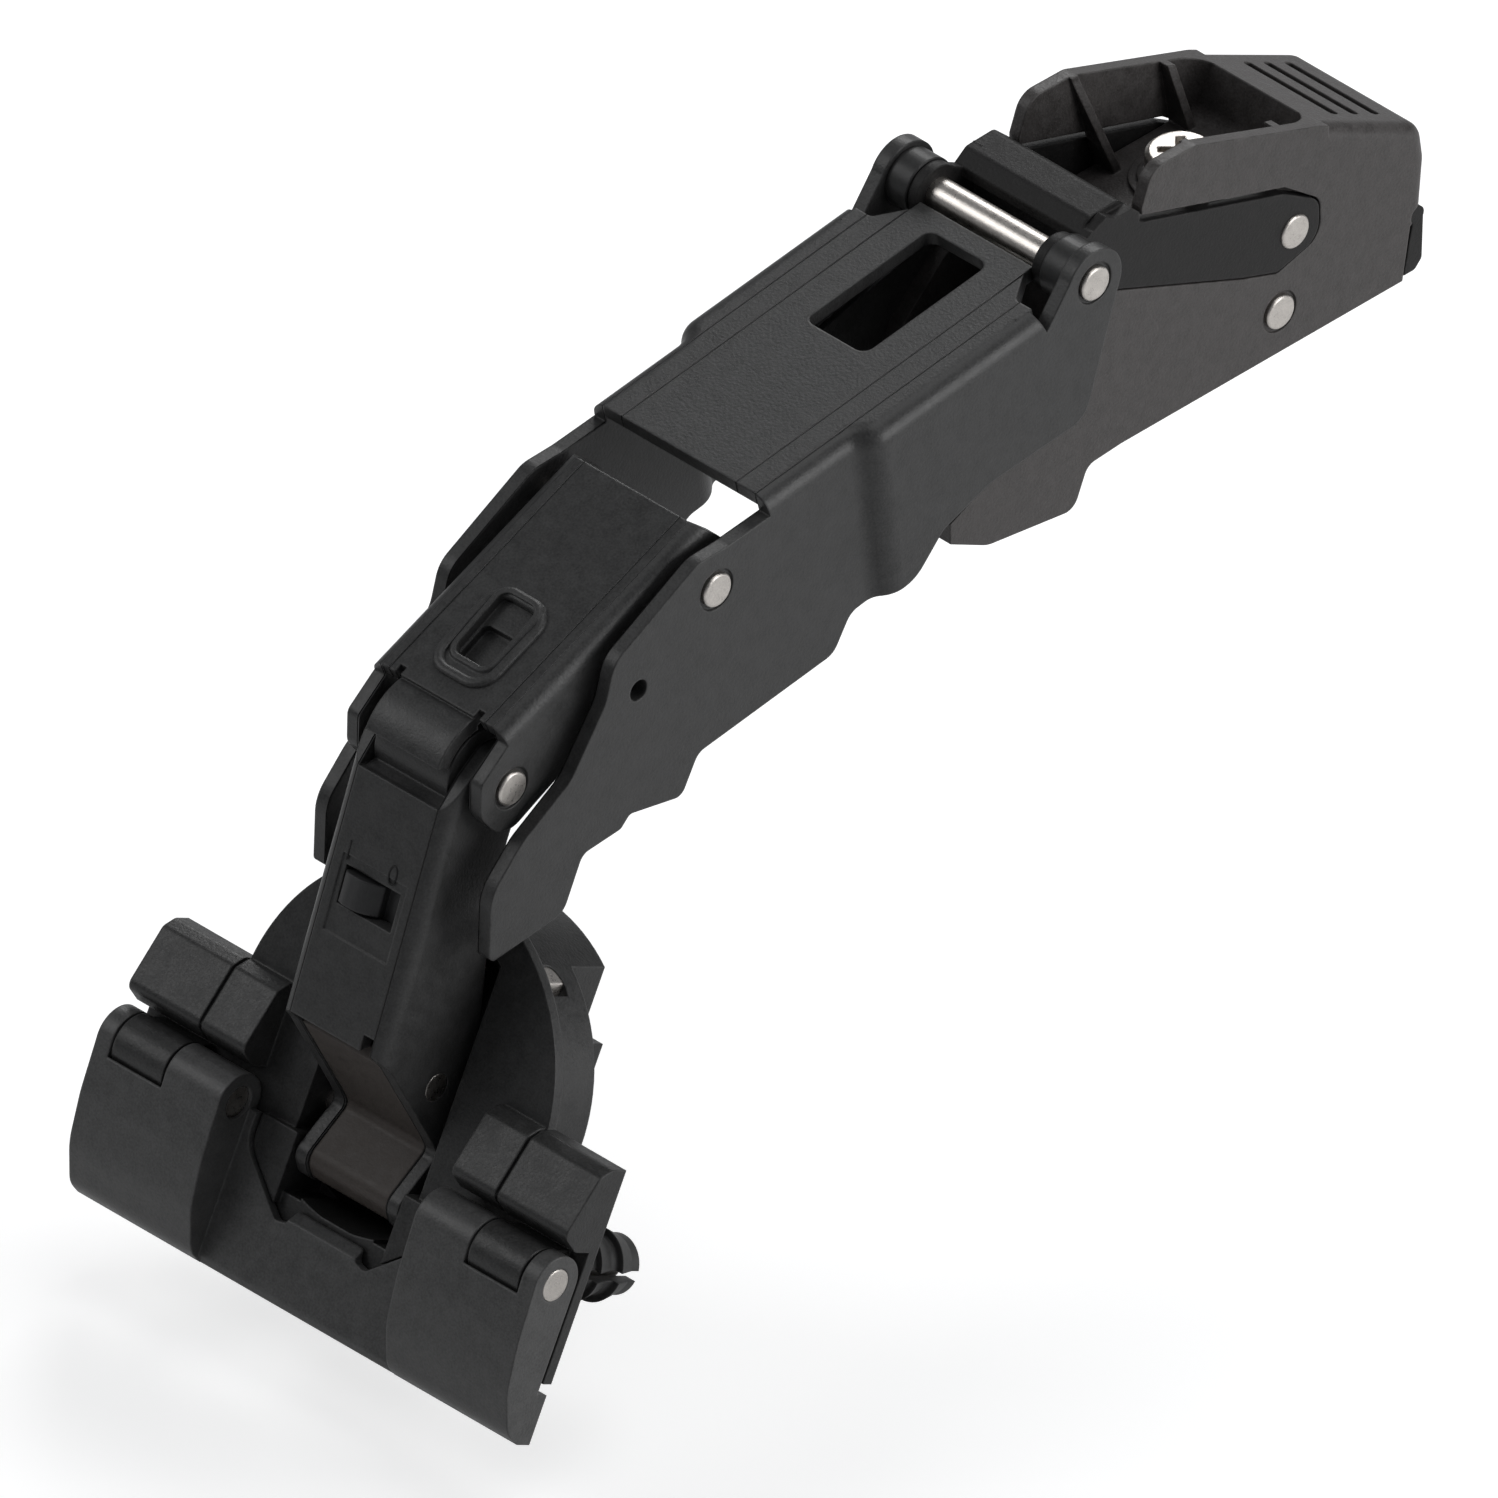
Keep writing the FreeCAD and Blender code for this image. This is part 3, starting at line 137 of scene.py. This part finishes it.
class NodeGroups:
    """Builds the shader groups that the finishes share."""

    def __init__(self) -> None:
        self.patches = self._patches()
        self.relief = self._relief()
        # Mask of the painted highlight that lightens sharp edges.
        self.edges = self._edges()
        self.line = self._line()

    @staticmethod
    def _socket(group: bpy.types.NodeTree, name: str, way: str, kind: str, value: float | None = None) -> None:
        """Adds one socket to a group's interface.

        Args:
            group: the node group.
            name: the socket's name.
            way: INPUT or OUTPUT.
            kind: the socket's type.
            value: default of an input.
        """
        socket = group.interface.new_socket(name=name, in_out=way, socket_type=kind)
        if value is not None:
            socket.default_value = value

    def _patches(self) -> bpy.types.NodeTree:
        """Soft cloudy mask made of two sizes of noise.

        Returns:
            The node group, with inputs Scale and Contrast and the output Mask.
        """
        group = bpy.data.node_groups.new("cloudy_patches", "ShaderNodeTree")
        self._socket(group, "Scale", "INPUT", "NodeSocketFloat", 400.0)
        self._socket(group, "Contrast", "INPUT", "NodeSocketFloat", 1.0)
        self._socket(group, "Mask", "OUTPUT", "NodeSocketFloat")
        nodes, links = group.nodes, group.links
        source = nodes.new("NodeGroupInput")
        sink = nodes.new("NodeGroupOutput")
        where = nodes.new("ShaderNodeTexCoord")
        coarse = nodes.new("ShaderNodeTexNoise")
        coarse.inputs["Detail"].default_value = 4.0
        fine = nodes.new("ShaderNodeTexNoise")
        fine.inputs["Detail"].default_value = 6.0
        more = nodes.new("ShaderNodeMath")
        more.operation = "MULTIPLY"
        more.inputs[1].default_value = 7.0
        blend = nodes.new("ShaderNodeMix")
        blend.inputs[0].default_value = 0.62
        spread = nodes.new("ShaderNodeMapRange")
        spread.inputs["From Min"].default_value = 0.36
        spread.inputs["From Max"].default_value = 0.64
        mild = nodes.new("ShaderNodeMath")
        mild.operation = "MULTIPLY"
        links.new(where.outputs["Object"], coarse.inputs["Vector"])
        links.new(where.outputs["Object"], fine.inputs["Vector"])
        links.new(source.outputs["Scale"], coarse.inputs["Scale"])
        links.new(source.outputs["Scale"], more.inputs[0])
        links.new(more.outputs[0], fine.inputs["Scale"])
        links.new(coarse.outputs["Fac"], blend.inputs[2])
        links.new(fine.outputs["Fac"], blend.inputs[3])
        links.new(blend.outputs[0], spread.inputs["Value"])
        links.new(spread.outputs["Result"], mild.inputs[0])
        links.new(source.outputs["Contrast"], mild.inputs[1])
        links.new(mild.outputs[0], sink.inputs["Mask"])
        return group

    def _relief(self) -> bpy.types.NodeTree:
        """Orange-peel and pitting relief laid over softened corners.

        Returns:
            The node group, with inputs Strength and Corner and the output Normal.
        """
        group = bpy.data.node_groups.new("coated_relief", "ShaderNodeTree")
        self._socket(group, "Strength", "INPUT", "NodeSocketFloat", 0.1)
        self._socket(group, "Corner", "INPUT", "NodeSocketFloat", 0.0003)
        self._socket(group, "Normal", "OUTPUT", "NodeSocketVector")
        nodes, links = group.nodes, group.links
        source = nodes.new("NodeGroupInput")
        sink = nodes.new("NodeGroupOutput")
        where = nodes.new("ShaderNodeTexCoord")
        corner = nodes.new("ShaderNodeBevel")
        corner.samples = 6
        peel = nodes.new("ShaderNodeTexNoise")
        peel.inputs["Scale"].default_value = 3200.0
        peel.inputs["Detail"].default_value = 4.0
        bump = nodes.new("ShaderNodeBump")
        bump.inputs["Distance"].default_value = 0.0001
        links.new(where.outputs["Object"], peel.inputs["Vector"])
        links.new(source.outputs["Corner"], corner.inputs["Radius"])
        links.new(corner.outputs["Normal"], bump.inputs["Normal"])
        links.new(source.outputs["Strength"], bump.inputs["Strength"])
        links.new(peel.outputs["Fac"], bump.inputs["Height"])
        links.new(bump.outputs["Normal"], sink.inputs["Normal"])
        return group

    def _line(self) -> bpy.types.NodeTree:
        """Mask of two fine lines along a web, one on each side of the middle plane.

        Returns:
            The node group, with inputs Half and Width and the output Mask.
        """
        group = bpy.data.node_groups.new("pressed_line", "ShaderNodeTree")
        self._socket(group, "Half", "INPUT", "NodeSocketFloat", 0.007)
        self._socket(group, "Width", "INPUT", "NodeSocketFloat", 0.00011)
        self._socket(group, "Mask", "OUTPUT", "NodeSocketFloat")
        nodes, links = group.nodes, group.links
        source = nodes.new("NodeGroupInput")
        sink = nodes.new("NodeGroupOutput")
        where = nodes.new("ShaderNodeTexCoord")
        place = nodes.new("ShaderNodeSeparateXYZ")
        facing = nodes.new("ShaderNodeSeparateXYZ")
        steps = {name: nodes.new("ShaderNodeMath") for name in ("side", "off", "far", "ratio", "near", "lean", "flat")}
        for name, kind in (("side", "ABSOLUTE"), ("off", "SUBTRACT"), ("far", "ABSOLUTE"), ("ratio", "DIVIDE"),
                           ("near", "SUBTRACT"), ("lean", "ABSOLUTE"), ("flat", "LESS_THAN")):
            steps[name].operation = kind
        steps["near"].inputs[0].default_value = 1.0
        steps["near"].use_clamp = True
        steps["flat"].inputs[1].default_value = 0.3
        both = nodes.new("ShaderNodeMath")
        both.operation = "MULTIPLY"
        links.new(where.outputs["Object"], place.inputs[0])
        links.new(place.outputs["X"], steps["side"].inputs[0])
        links.new(steps["side"].outputs[0], steps["off"].inputs[0])
        links.new(source.outputs["Half"], steps["off"].inputs[1])
        links.new(steps["off"].outputs[0], steps["far"].inputs[0])
        links.new(steps["far"].outputs[0], steps["ratio"].inputs[0])
        links.new(source.outputs["Width"], steps["ratio"].inputs[1])
        links.new(steps["ratio"].outputs[0], steps["near"].inputs[1])
        links.new(where.outputs["Normal"], facing.inputs[0])
        links.new(facing.outputs["X"], steps["lean"].inputs[0])
        links.new(steps["lean"].outputs[0], steps["flat"].inputs[0])
        links.new(steps["near"].outputs[0], both.inputs[0])
        links.new(steps["flat"].outputs[0], both.inputs[1])
        links.new(both.outputs[0], sink.inputs["Mask"])
        return group

    def _edges(self) -> bpy.types.NodeTree:
        """Mask of the painted highlight on sharp edges, broken up by noise.

        Returns:
            The node group, with inputs Width and Amount and the output Mask.
        """
        group = bpy.data.node_groups.new("painted_edge_sheen", "ShaderNodeTree")
        self._socket(group, "Width", "INPUT", "NodeSocketFloat", 0.0003)
        self._socket(group, "Amount", "INPUT", "NodeSocketFloat", 0.3)
        self._socket(group, "Mask", "OUTPUT", "NodeSocketFloat")
        nodes, links = group.nodes, group.links
        source = nodes.new("NodeGroupInput")
        sink = nodes.new("NodeGroupOutput")
        where = nodes.new("ShaderNodeTexCoord")
        face = nodes.new("ShaderNodeNewGeometry")
        corner = nodes.new("ShaderNodeBevel")
        corner.samples = 6
        same = nodes.new("ShaderNodeVectorMath")
        same.operation = "DOT_PRODUCT"
        turned = nodes.new("ShaderNodeMapRange")
        turned.inputs["From Min"].default_value = 0.995
        turned.inputs["From Max"].default_value = 0.88
        broken = nodes.new("ShaderNodeTexNoise")
        broken.inputs["Scale"].default_value = 700.0
        broken.inputs["Detail"].default_value = 5.0
        patchy = nodes.new("ShaderNodeMapRange")
        patchy.inputs["From Min"].default_value = 0.35
        patchy.inputs["From Max"].default_value = 0.65
        both = nodes.new("ShaderNodeMath")
        both.operation = "MULTIPLY"
        amount = nodes.new("ShaderNodeMath")
        amount.operation = "MULTIPLY"
        links.new(source.outputs["Width"], corner.inputs["Radius"])
        links.new(corner.outputs["Normal"], same.inputs[0])
        links.new(face.outputs["Normal"], same.inputs[1])
        links.new(same.outputs["Value"], turned.inputs["Value"])
        links.new(where.outputs["Object"], broken.inputs["Vector"])
        links.new(broken.outputs["Fac"], patchy.inputs["Value"])
        links.new(turned.outputs["Result"], both.inputs[0])
        links.new(patchy.outputs["Result"], both.inputs[1])
        links.new(both.outputs[0], amount.inputs[0])
        links.new(source.outputs["Amount"], amount.inputs[1])
        links.new(amount.outputs[0], sink.inputs["Mask"])
        return group


class MaterialShop:
    """Makes one procedural material per finish and hands it out."""

    def __init__(self) -> None:
        self._groups = NodeGroups()
        self._made: dict[tuple[Slot, tuple[float, ...]], bpy.types.Material] = {}
        # Near-black material of the on and off marks: painted shade.
        self.mark = self._build("mark", MARK_SHADE, ())

    def get(self, slot: Slot, lines: tuple[float, ...] = ()) -> bpy.types.Material:
        """Gives the material of a slot, made on first use.

        Args:
            slot: the record's material slot.
            lines: distances of the pressed lines from the middle plane.

        Returns:
            The material.
        """
        key = (slot, lines)
        if key not in self._made:
            self._made[key] = self._build(slot.value, FINISHES[slot], lines)
        return self._made[key]

    def _build(self, name: str, finish: Finish, lines: tuple[float, ...]) -> bpy.types.Material:
        """Builds one material.

        Args:
            name: the material's name.
            finish: its look.
            lines: distances of the pressed lines from the middle plane.

        Returns:
            The material.
        """
        material = bpy.data.materials.new("mat_" + name)
        material.use_nodes = True
        nodes, links = material.node_tree.nodes, material.node_tree.links
        surface = nodes["Principled BSDF"]
        patches = nodes.new("ShaderNodeGroup")
        patches.node_tree = self._groups.patches
        patches.inputs["Scale"].default_value = finish.grain
        relief = nodes.new("ShaderNodeGroup")
        relief.node_tree = self._groups.relief
        relief.inputs["Strength"].default_value = finish.pitted
        # Painted highlight: a lighter colour mixed in along sharp edges.
        edges = nodes.new("ShaderNodeGroup")
        edges.node_tree = self._groups.edges
        edges.inputs["Amount"].default_value = finish.highlight_share
        tone = nodes.new("ShaderNodeMix")
        tone.data_type = "RGBA"
        tone.inputs[6].default_value = (*finish.dark, 1.0)
        tone.inputs[7].default_value = (*finish.light, 1.0)
        # Mixes the painted edge highlight colour over the patchy tone.
        highlit = nodes.new("ShaderNodeMix")
        highlit.data_type = "RGBA"
        highlit.inputs[7].default_value = (*finish.highlight_colour, 1.0)
        gloss = nodes.new("ShaderNodeMapRange")
        gloss.inputs["To Min"].default_value = finish.rough_low
        gloss.inputs["To Max"].default_value = finish.rough_high
        links.new(patches.outputs["Mask"], tone.inputs[0])
        links.new(tone.outputs[2], highlit.inputs[6])
        links.new(edges.outputs["Mask"], highlit.inputs[0])
        links.new(patches.outputs["Mask"], gloss.inputs["Value"])
        links.new(gloss.outputs["Result"], surface.inputs["Roughness"])
        surface.inputs["Metallic"].default_value = finish.metallic
        surface.inputs["Specular IOR Level"].default_value = finish.gloss
        colour, normal = highlit.outputs[2], relief.outputs["Normal"]
        for line in lines:
            colour, normal = self._press_line(material, colour, normal, line)
        links.new(colour, surface.inputs["Base Color"])
        links.new(normal, surface.inputs["Normal"])
        return material

    def _press_line(self, material: bpy.types.Material, colour: bpy.types.NodeSocket, normal: bpy.types.NodeSocket,
                    line: float) -> tuple[bpy.types.NodeSocket, bpy.types.NodeSocket]:
        """Lays a pair of fine pressed lines over a finished material: a sunken bump, with painted shade darkening
        their colour.

        Args:
            material: the material.
            colour: the socket that gives the colour so far.
            normal: the socket that gives the normal so far.
            line: distance of the lines from the middle plane.

        Returns:
            The sockets that give the new colour and the new normal.
        """
        nodes, links = material.node_tree.nodes, material.node_tree.links
        groove = nodes.new("ShaderNodeGroup")
        groove.node_tree = self._groups.line
        groove.inputs["Half"].default_value = line
        shade = nodes.new("ShaderNodeMix")
        shade.data_type = "RGBA"
        # Near-black painted shade that stands for the shade inside the grooves.
        shade.inputs[7].default_value = (0.006, 0.006, 0.006, 1.0)
        sink = nodes.new("ShaderNodeBump")
        sink.invert = True
        sink.inputs["Distance"].default_value = 0.0003
        links.new(groove.outputs["Mask"], shade.inputs[0])
        links.new(colour, shade.inputs[6])
        links.new(groove.outputs["Mask"], sink.inputs["Height"])
        links.new(normal, sink.inputs["Normal"])
        return shade.outputs[2], sink.outputs["Normal"]


class Studio:
    """Camera, lights, background and floor of the picture."""

    def build(self) -> None:
        """Sets up everything around the hinge, camera first."""
        self._camera()
        self._world()
        self._lights()
        self._floor()

    @staticmethod
    def _camera() -> None:
        """Places the camera at the photograph's even isometric angle."""
        data = bpy.data.cameras.new("camera")
        data.type = "ORTHO"
        data.ortho_scale = VIEW_WIDTH
        data.clip_end = 10.0
        camera = bpy.data.objects.new("camera", data)
        bpy.context.collection.objects.link(camera)
        camera.location = AIM + TOWARDS_CAMERA * 0.6
        camera.rotation_euler = (-TOWARDS_CAMERA).to_track_quat("-Z", "Y").to_euler()
        bpy.context.scene.camera = camera

    @staticmethod
    def _world() -> None:
        """White backdrop for camera rays over a softer grey surround."""
        world = bpy.data.worlds.new("studio")
        bpy.context.scene.world = world
        world.use_nodes = True
        nodes, links = world.node_tree.nodes, world.node_tree.links
        nodes.clear()
        output = nodes.new("ShaderNodeOutputWorld")
        path = nodes.new("ShaderNodeLightPath")
        backdrop = nodes.new("ShaderNodeBackground")
        backdrop.inputs["Color"].default_value = (1.0, 1.0, 1.0, 1.0)
        surround = nodes.new("ShaderNodeBackground")
        surround.inputs["Color"].default_value = (0.80, 0.82, 0.85, 1.0)
        surround.inputs["Strength"].default_value = SURROUND_LEVEL
        choose = nodes.new("ShaderNodeMixShader")
        links.new(path.outputs["Is Camera Ray"], choose.inputs[0])
        links.new(surround.outputs[0], choose.inputs[1])
        links.new(backdrop.outputs[0], choose.inputs[2])
        links.new(choose.outputs[0], output.inputs["Surface"])
        bpy.context.scene.view_settings.view_transform = "Standard"

    @staticmethod
    def _light(name: str, place: tuple[float, float, float], size: float, power: float) -> None:
        """Adds one soft square light that looks at the hinge.

        Args:
            name: the light's name.
            place: where it stands.
            size: its side.
            power: its power in watts.
        """
        data = bpy.data.lights.new(name, "AREA")
        data.size = size
        data.energy = power
        light = bpy.data.objects.new(name, data)
        bpy.context.collection.objects.link(light)
        light.location = place
        light.rotation_euler = (AIM - Vector(place)).to_track_quat("-Z", "Y").to_euler()

    def _lights(self) -> None:
        """Weak light from the front, light from the right and above, and one from behind."""
        self._light("front", (-0.55, -0.48, 0.52), 0.45, 1.7)
        self._light("right", (0.70, 0.30, 0.20), 0.50, 3.6)
        self._light("top", (0.10, 0.12, 0.78), 0.50, 1.3)
        self._light("rear", (-0.45, 0.65, 0.55), 0.45, 3.0)

    @staticmethod
    def _floor() -> None:
        """Plain pale floor below the hinge."""
        mesh = bpy.data.meshes.new("floor")
        sheet = bmesh.new()
        bmesh.ops.create_grid(sheet, x_segments=1, y_segments=1, size=FLOOR_HALF)
        bmesh.ops.translate(sheet, verts=sheet.verts, vec=(0.0, 0.0, FLOOR_Z))
        sheet.to_mesh(mesh)
        sheet.free()
        floor = bpy.data.objects.new("floor", mesh)
        bpy.context.collection.objects.link(floor)
        material = bpy.data.materials.new("mat_floor")
        material.use_nodes = True
        surface = material.node_tree.nodes["Principled BSDF"]
        surface.inputs["Base Color"].default_value = (0.9, 0.9, 0.9, 1.0)
        surface.inputs["Roughness"].default_value = 0.9
        surface.inputs["Emission Color"].default_value = (1.0, 1.0, 1.0, 1.0)
        nodes, links = material.node_tree.nodes, material.node_tree.links
        path = nodes.new("ShaderNodeLightPath")
        bright = nodes.new("ShaderNodeEmission")
        bright.inputs["Strength"].default_value = FLOOR_LIFT
        lifted = nodes.new("ShaderNodeAddShader")
        seen = nodes.new("ShaderNodeMixShader")
        links.new(surface.outputs[0], lifted.inputs[0])
        links.new(bright.outputs[0], lifted.inputs[1])
        links.new(path.outputs["Is Camera Ray"], seen.inputs[0])
        links.new(surface.outputs[0], seen.inputs[1])
        links.new(lifted.outputs[0], seen.inputs[2])
        links.new(seen.outputs[0], nodes["Material Output"].inputs["Surface"])
        mesh.materials.append(material)


@dataclass(frozen=True)
class LinkFrame:
    """A link's own frame: its first pivot and its direction.

    Args:
        joint: the joint at the link's first pivot.
        angle: direction of the link, in degrees above level.
        body: the body that its pieces ride on.
    """

    joint: str
    angle: float
    body: str

    def matrix(self) -> Matrix:
        """Turns x, distance along the link (negative y) and height into place."""
        joints = {item["name"]: item for item in frame["record"]["behaviour"]["joints"]}
        origin = Vector(joints[self.joint]["pos_m"])
        return Matrix.Translation(origin) @ Matrix.Rotation(math.radians(-self.angle), 4, "X")


LEVER = LinkFrame("lever_on_rod", -13.5, "lever")
MIDDLE = LinkFrame("middle_on_lever", -26.1, "middle")
INNER = LinkFrame("inner_on_middle", -81.8, "inner")


class Piece:
    """Turns finished bmeshes into objects that ride on a body."""

    def __init__(self, link: LinkFrame, slot: Slot, material: bpy.types.Material) -> None:
        self._link = link
        self._slot = slot
        self._material = material

    def add(self, name: str, shape: bmesh.types.BMesh) -> bpy.types.Object:
        """Makes the object, places its mesh and ties it to its body.

        Args:
            name: the object's name.
            shape: the mesh in the link's own frame; it is freed.

        Returns:
            The object.
        """
        bmesh.ops.transform(shape, matrix=self._link.matrix(), verts=shape.verts)
        bmesh.ops.recalc_face_normals(shape, faces=shape.faces)
        mesh = bpy.data.meshes.new(name)
        shape.to_mesh(mesh)
        shape.free()
        mesh.materials.append(self._material)
        piece = bpy.data.objects.new(name, mesh)
        bpy.context.collection.objects.link(piece)
        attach(piece, self._link.body)
        LOG.info("%s built", name)
        return piece


def rounded_sheet(half: float, low: float, high: float, corner: float) -> bmesh.types.BMesh:
    """Flat rounded rectangle across the middle plane.

    Args:
        half: half its width.
        low: distance along the link of its first edge.
        high: distance along the link of its last edge.
        corner: radius of its corners.

    Returns:
        A bmesh with one face at height 0.
    """
    sheet = bmesh.new()
    bmesh.ops.create_grid(sheet, x_segments=1, y_segments=1, size=0.5)
    bmesh.ops.scale(sheet, vec=(2 * half, high - low, 1.0), verts=sheet.verts)
    bmesh.ops.translate(sheet, vec=(0.0, -(low + high) / 2, 0.0), verts=sheet.verts)
    bmesh.ops.bevel(sheet, geom=sheet.verts[:], offset=corner, segments=6, profile=0.5, affect="VERTICES",
                    material=-1)
    return sheet


@dataclass
class LeverInside:
    """Thin inner plates behind the lever's cheeks, seen through its window.

    Args:
        place: distance of each plate's inner face from the middle plane.
        thick: thickness of the plates.
        rear: distance along the lever of the plates' rear end.
        front: distance along the lever of their front end.
        top: height of their upper edge.
        low: height of their lower edge.
        slope: how far the rear end leans, from its lower to its upper corner.
        corner: radius of their corners.
    """

    place: float = 0.0085
    thick: float = 0.0006
    rear: float = 0.0040
    front: float = 0.0225
    top: float = -0.0055
    low: float = -0.0136
    slope: float = -0.0050
    corner: float = 0.0008

    def build(self, shop: MaterialShop) -> None:
        """Builds and dresses both plates.

        Args:
            shop: the maker of materials.
        """
        piece = Piece(LEVER, Slot.LEVER, shop.get(Slot.LEVER))
        for name, side in (("lever_lining_left", -1.0), ("lever_lining_right", 1.0)):
            piece.add(name, self._plate(side))

    def _plate(self, side: float) -> bmesh.types.BMesh:
        """One plate.

        Args:
            side: -1 for the left one, 1 for the right one.

        Returns:
            Its mesh in the lever's frame.
        """
        plate = bmesh.new()
        bmesh.ops.create_cube(plate, size=1.0)
        bmesh.ops.scale(plate, vec=(self.thick, self.front - self.rear, self.top - self.low), verts=plate.verts)
        middle = (side * (self.place + self.thick / 2), -(self.rear + self.front) / 2, (self.top + self.low) / 2)
        bmesh.ops.translate(plate, vec=middle, verts=plate.verts)
        upper_rear = [v for v in plate.verts if v.co.y > middle[1] and v.co.z > middle[2]]
        bmesh.ops.translate(plate, vec=(0.0, -self.slope, 0.0), verts=upper_rear)
        across = [e for e in plate.edges if abs(e.verts[0].co.x - e.verts[1].co.x) > self.thick / 2]
        bmesh.ops.bevel(plate, geom=across, offset=self.corner, segments=4, profile=0.5, affect="EDGES", material=-1)
        return plate


@dataclass
class DimpleBead:
    """Raised bead that runs round the dimple of the middle link.

    Args:
        half: half the bead's outer width.
        low: distance along the link of its outer rear edge.
        high: distance along the link of its outer front edge.
        corner: radius of its outer corners.
        width: width of the bead.
        height: how far it stands above the web.
        web: height of the web at the rear edge.
        slope: rise of the web along the link.
    """

    half: float = 0.0039
    low: float = 0.0117
    high: float = 0.0225
    corner: float = 0.0026
    width: float = 0.0011
    height: float = 0.00050
    web: float = 0.00556
    slope: float = 0.063

    def build(self, shop: MaterialShop) -> None:
        """Builds and dresses the bead.

        Args:
            shop: the maker of materials.
        """
        bead = rounded_sheet(self.half, self.low, self.high, self.corner)
        face = bead.faces[:]
        bmesh.ops.inset_region(bead, faces=face, thickness=self.width, use_boundary=True, use_even_offset=True)
        bmesh.ops.delete(bead, geom=face, context="FACES_ONLY")
        ring = bead.faces[:]
        raised = bmesh.ops.extrude_face_region(bead, geom=ring)
        top = [item for item in raised["geom"] if isinstance(item, bmesh.types.BMVert)]
        bmesh.ops.translate(bead, vec=(0.0, 0.0, self.height + 0.0002), verts=top)
        rims = {edge for face in bead.faces if all(v in top for v in face.verts) for edge in face.edges
                if any(not all(v in top for v in other.verts) for other in edge.link_faces)}
        bmesh.ops.bevel(bead, geom=list(rims), offset=self.height * 0.9, segments=3, profile=0.5, affect="EDGES",
                        material=-1)
        for vert in bead.verts:
            vert.co.z += self.web - 0.0002 + self.slope * (-vert.co.y - self.low)
        Piece(MIDDLE, Slot.LEVER, shop.get(Slot.LEVER)).add("dimple_bead", bead)


@dataclass
class SwitchMarks:
    """The on and off marks beside the soft-close switch, drawn as thin raised strips in painted shade.

    Args:
        on_x: place of the stroke across the plate.
        on_low: distance along the link of the stroke's start.
        on_high: distance along the link of the stroke's end.
        off_x: place of the ring's centre across the plate.
        off_a: place of the ring's centre along the link.
        off_half: half the ring's width.
        off_tall: half the ring's length.
        line: width of the line.
        proud: how far the marks stand above the plate.
        plate: height of the cover plate at the link's pivot.
        slope: rise of the cover plate along the link.
    """

    on_x: float = -0.00355
    on_low: float = 0.00885
    on_high: float = 0.01075
    off_x: float = 0.00213
    off_a: float = 0.00982
    off_half: float = 0.00056
    off_tall: float = 0.00098
    line: float = 0.00018
    proud: float = 0.00004
    plate: float = 0.00533
    slope: float = 0.2222

    def build(self, shop: MaterialShop) -> None:
        """Builds and dresses both marks.

        Args:
            shop: the maker of materials.
        """
        piece = Piece(INNER, Slot.LEVER, shop.mark)
        stroke = rounded_sheet(self.line / 2, self.on_low, self.on_high, self.line * 0.4)
        bmesh.ops.translate(stroke, vec=(self.on_x, 0.0, 0.0), verts=stroke.verts)
        piece.add("mark_on", self._raise(stroke))
        ring = bmesh.new()
        bmesh.ops.create_circle(ring, cap_ends=True, radius=1.0, segments=32)
        bmesh.ops.scale(ring, vec=(self.off_half, self.off_tall, 1.0), verts=ring.verts)
        bmesh.ops.translate(ring, vec=(0.0, -self.off_a, 0.0), verts=ring.verts)
        face = ring.faces[:]
        bmesh.ops.inset_region(ring, faces=face, thickness=self.line, use_boundary=True, use_even_offset=True)
        bmesh.ops.delete(ring, geom=face, context="FACES_ONLY")
        bmesh.ops.translate(ring, vec=(self.off_x, 0.0, 0.0), verts=ring.verts)
        piece.add("mark_off", self._raise(ring))

    def _raise(self, mark: bmesh.types.BMesh) -> bmesh.types.BMesh:
        """Gives a flat mark its thickness and lays it on the plate.

        Args:
            mark: the flat mark.

        Returns:
            The same bmesh.
        """
        raised = bmesh.ops.extrude_face_region(mark, geom=mark.faces[:])
        top = [item for item in raised["geom"] if isinstance(item, bmesh.types.BMVert)]
        bmesh.ops.translate(mark, vec=(0.0, 0.0, self.proud * 2), verts=top)
        for vert in mark.verts:
            vert.co.z += self.plate - self.proud - self.slope * vert.co.y
        return mark


class HingeModel:
    """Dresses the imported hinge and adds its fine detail."""

    def __init__(self, shop: MaterialShop) -> None:
        self._shop = shop

    def build(self) -> None:
        """Gives every carried-over node its procedural material and adds the detail."""
        slots = {item["node"]: item["material_slot"] for item in frame["record"]["subparts"]}
        for name, node in frame["nodes"].items():
            material = self._shop.get(Slot(slots[name]), PRESSED_LINES.get(name, ()))
            for place in node.material_slots:
                place.material = material
            LOG.info("%s dressed", name)
        for detail in (LeverInside(), DimpleBead(), SwitchMarks()):
            detail.build(self._shop)


def main() -> None:
    """Builds the picture of the hinge."""
    logging.basicConfig(level=logging.INFO)
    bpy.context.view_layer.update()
    Studio().build()
    HingeModel(MaterialShop()).build()
    LOG.info("hinge scene built")


if __name__ == "__main__":
    main()
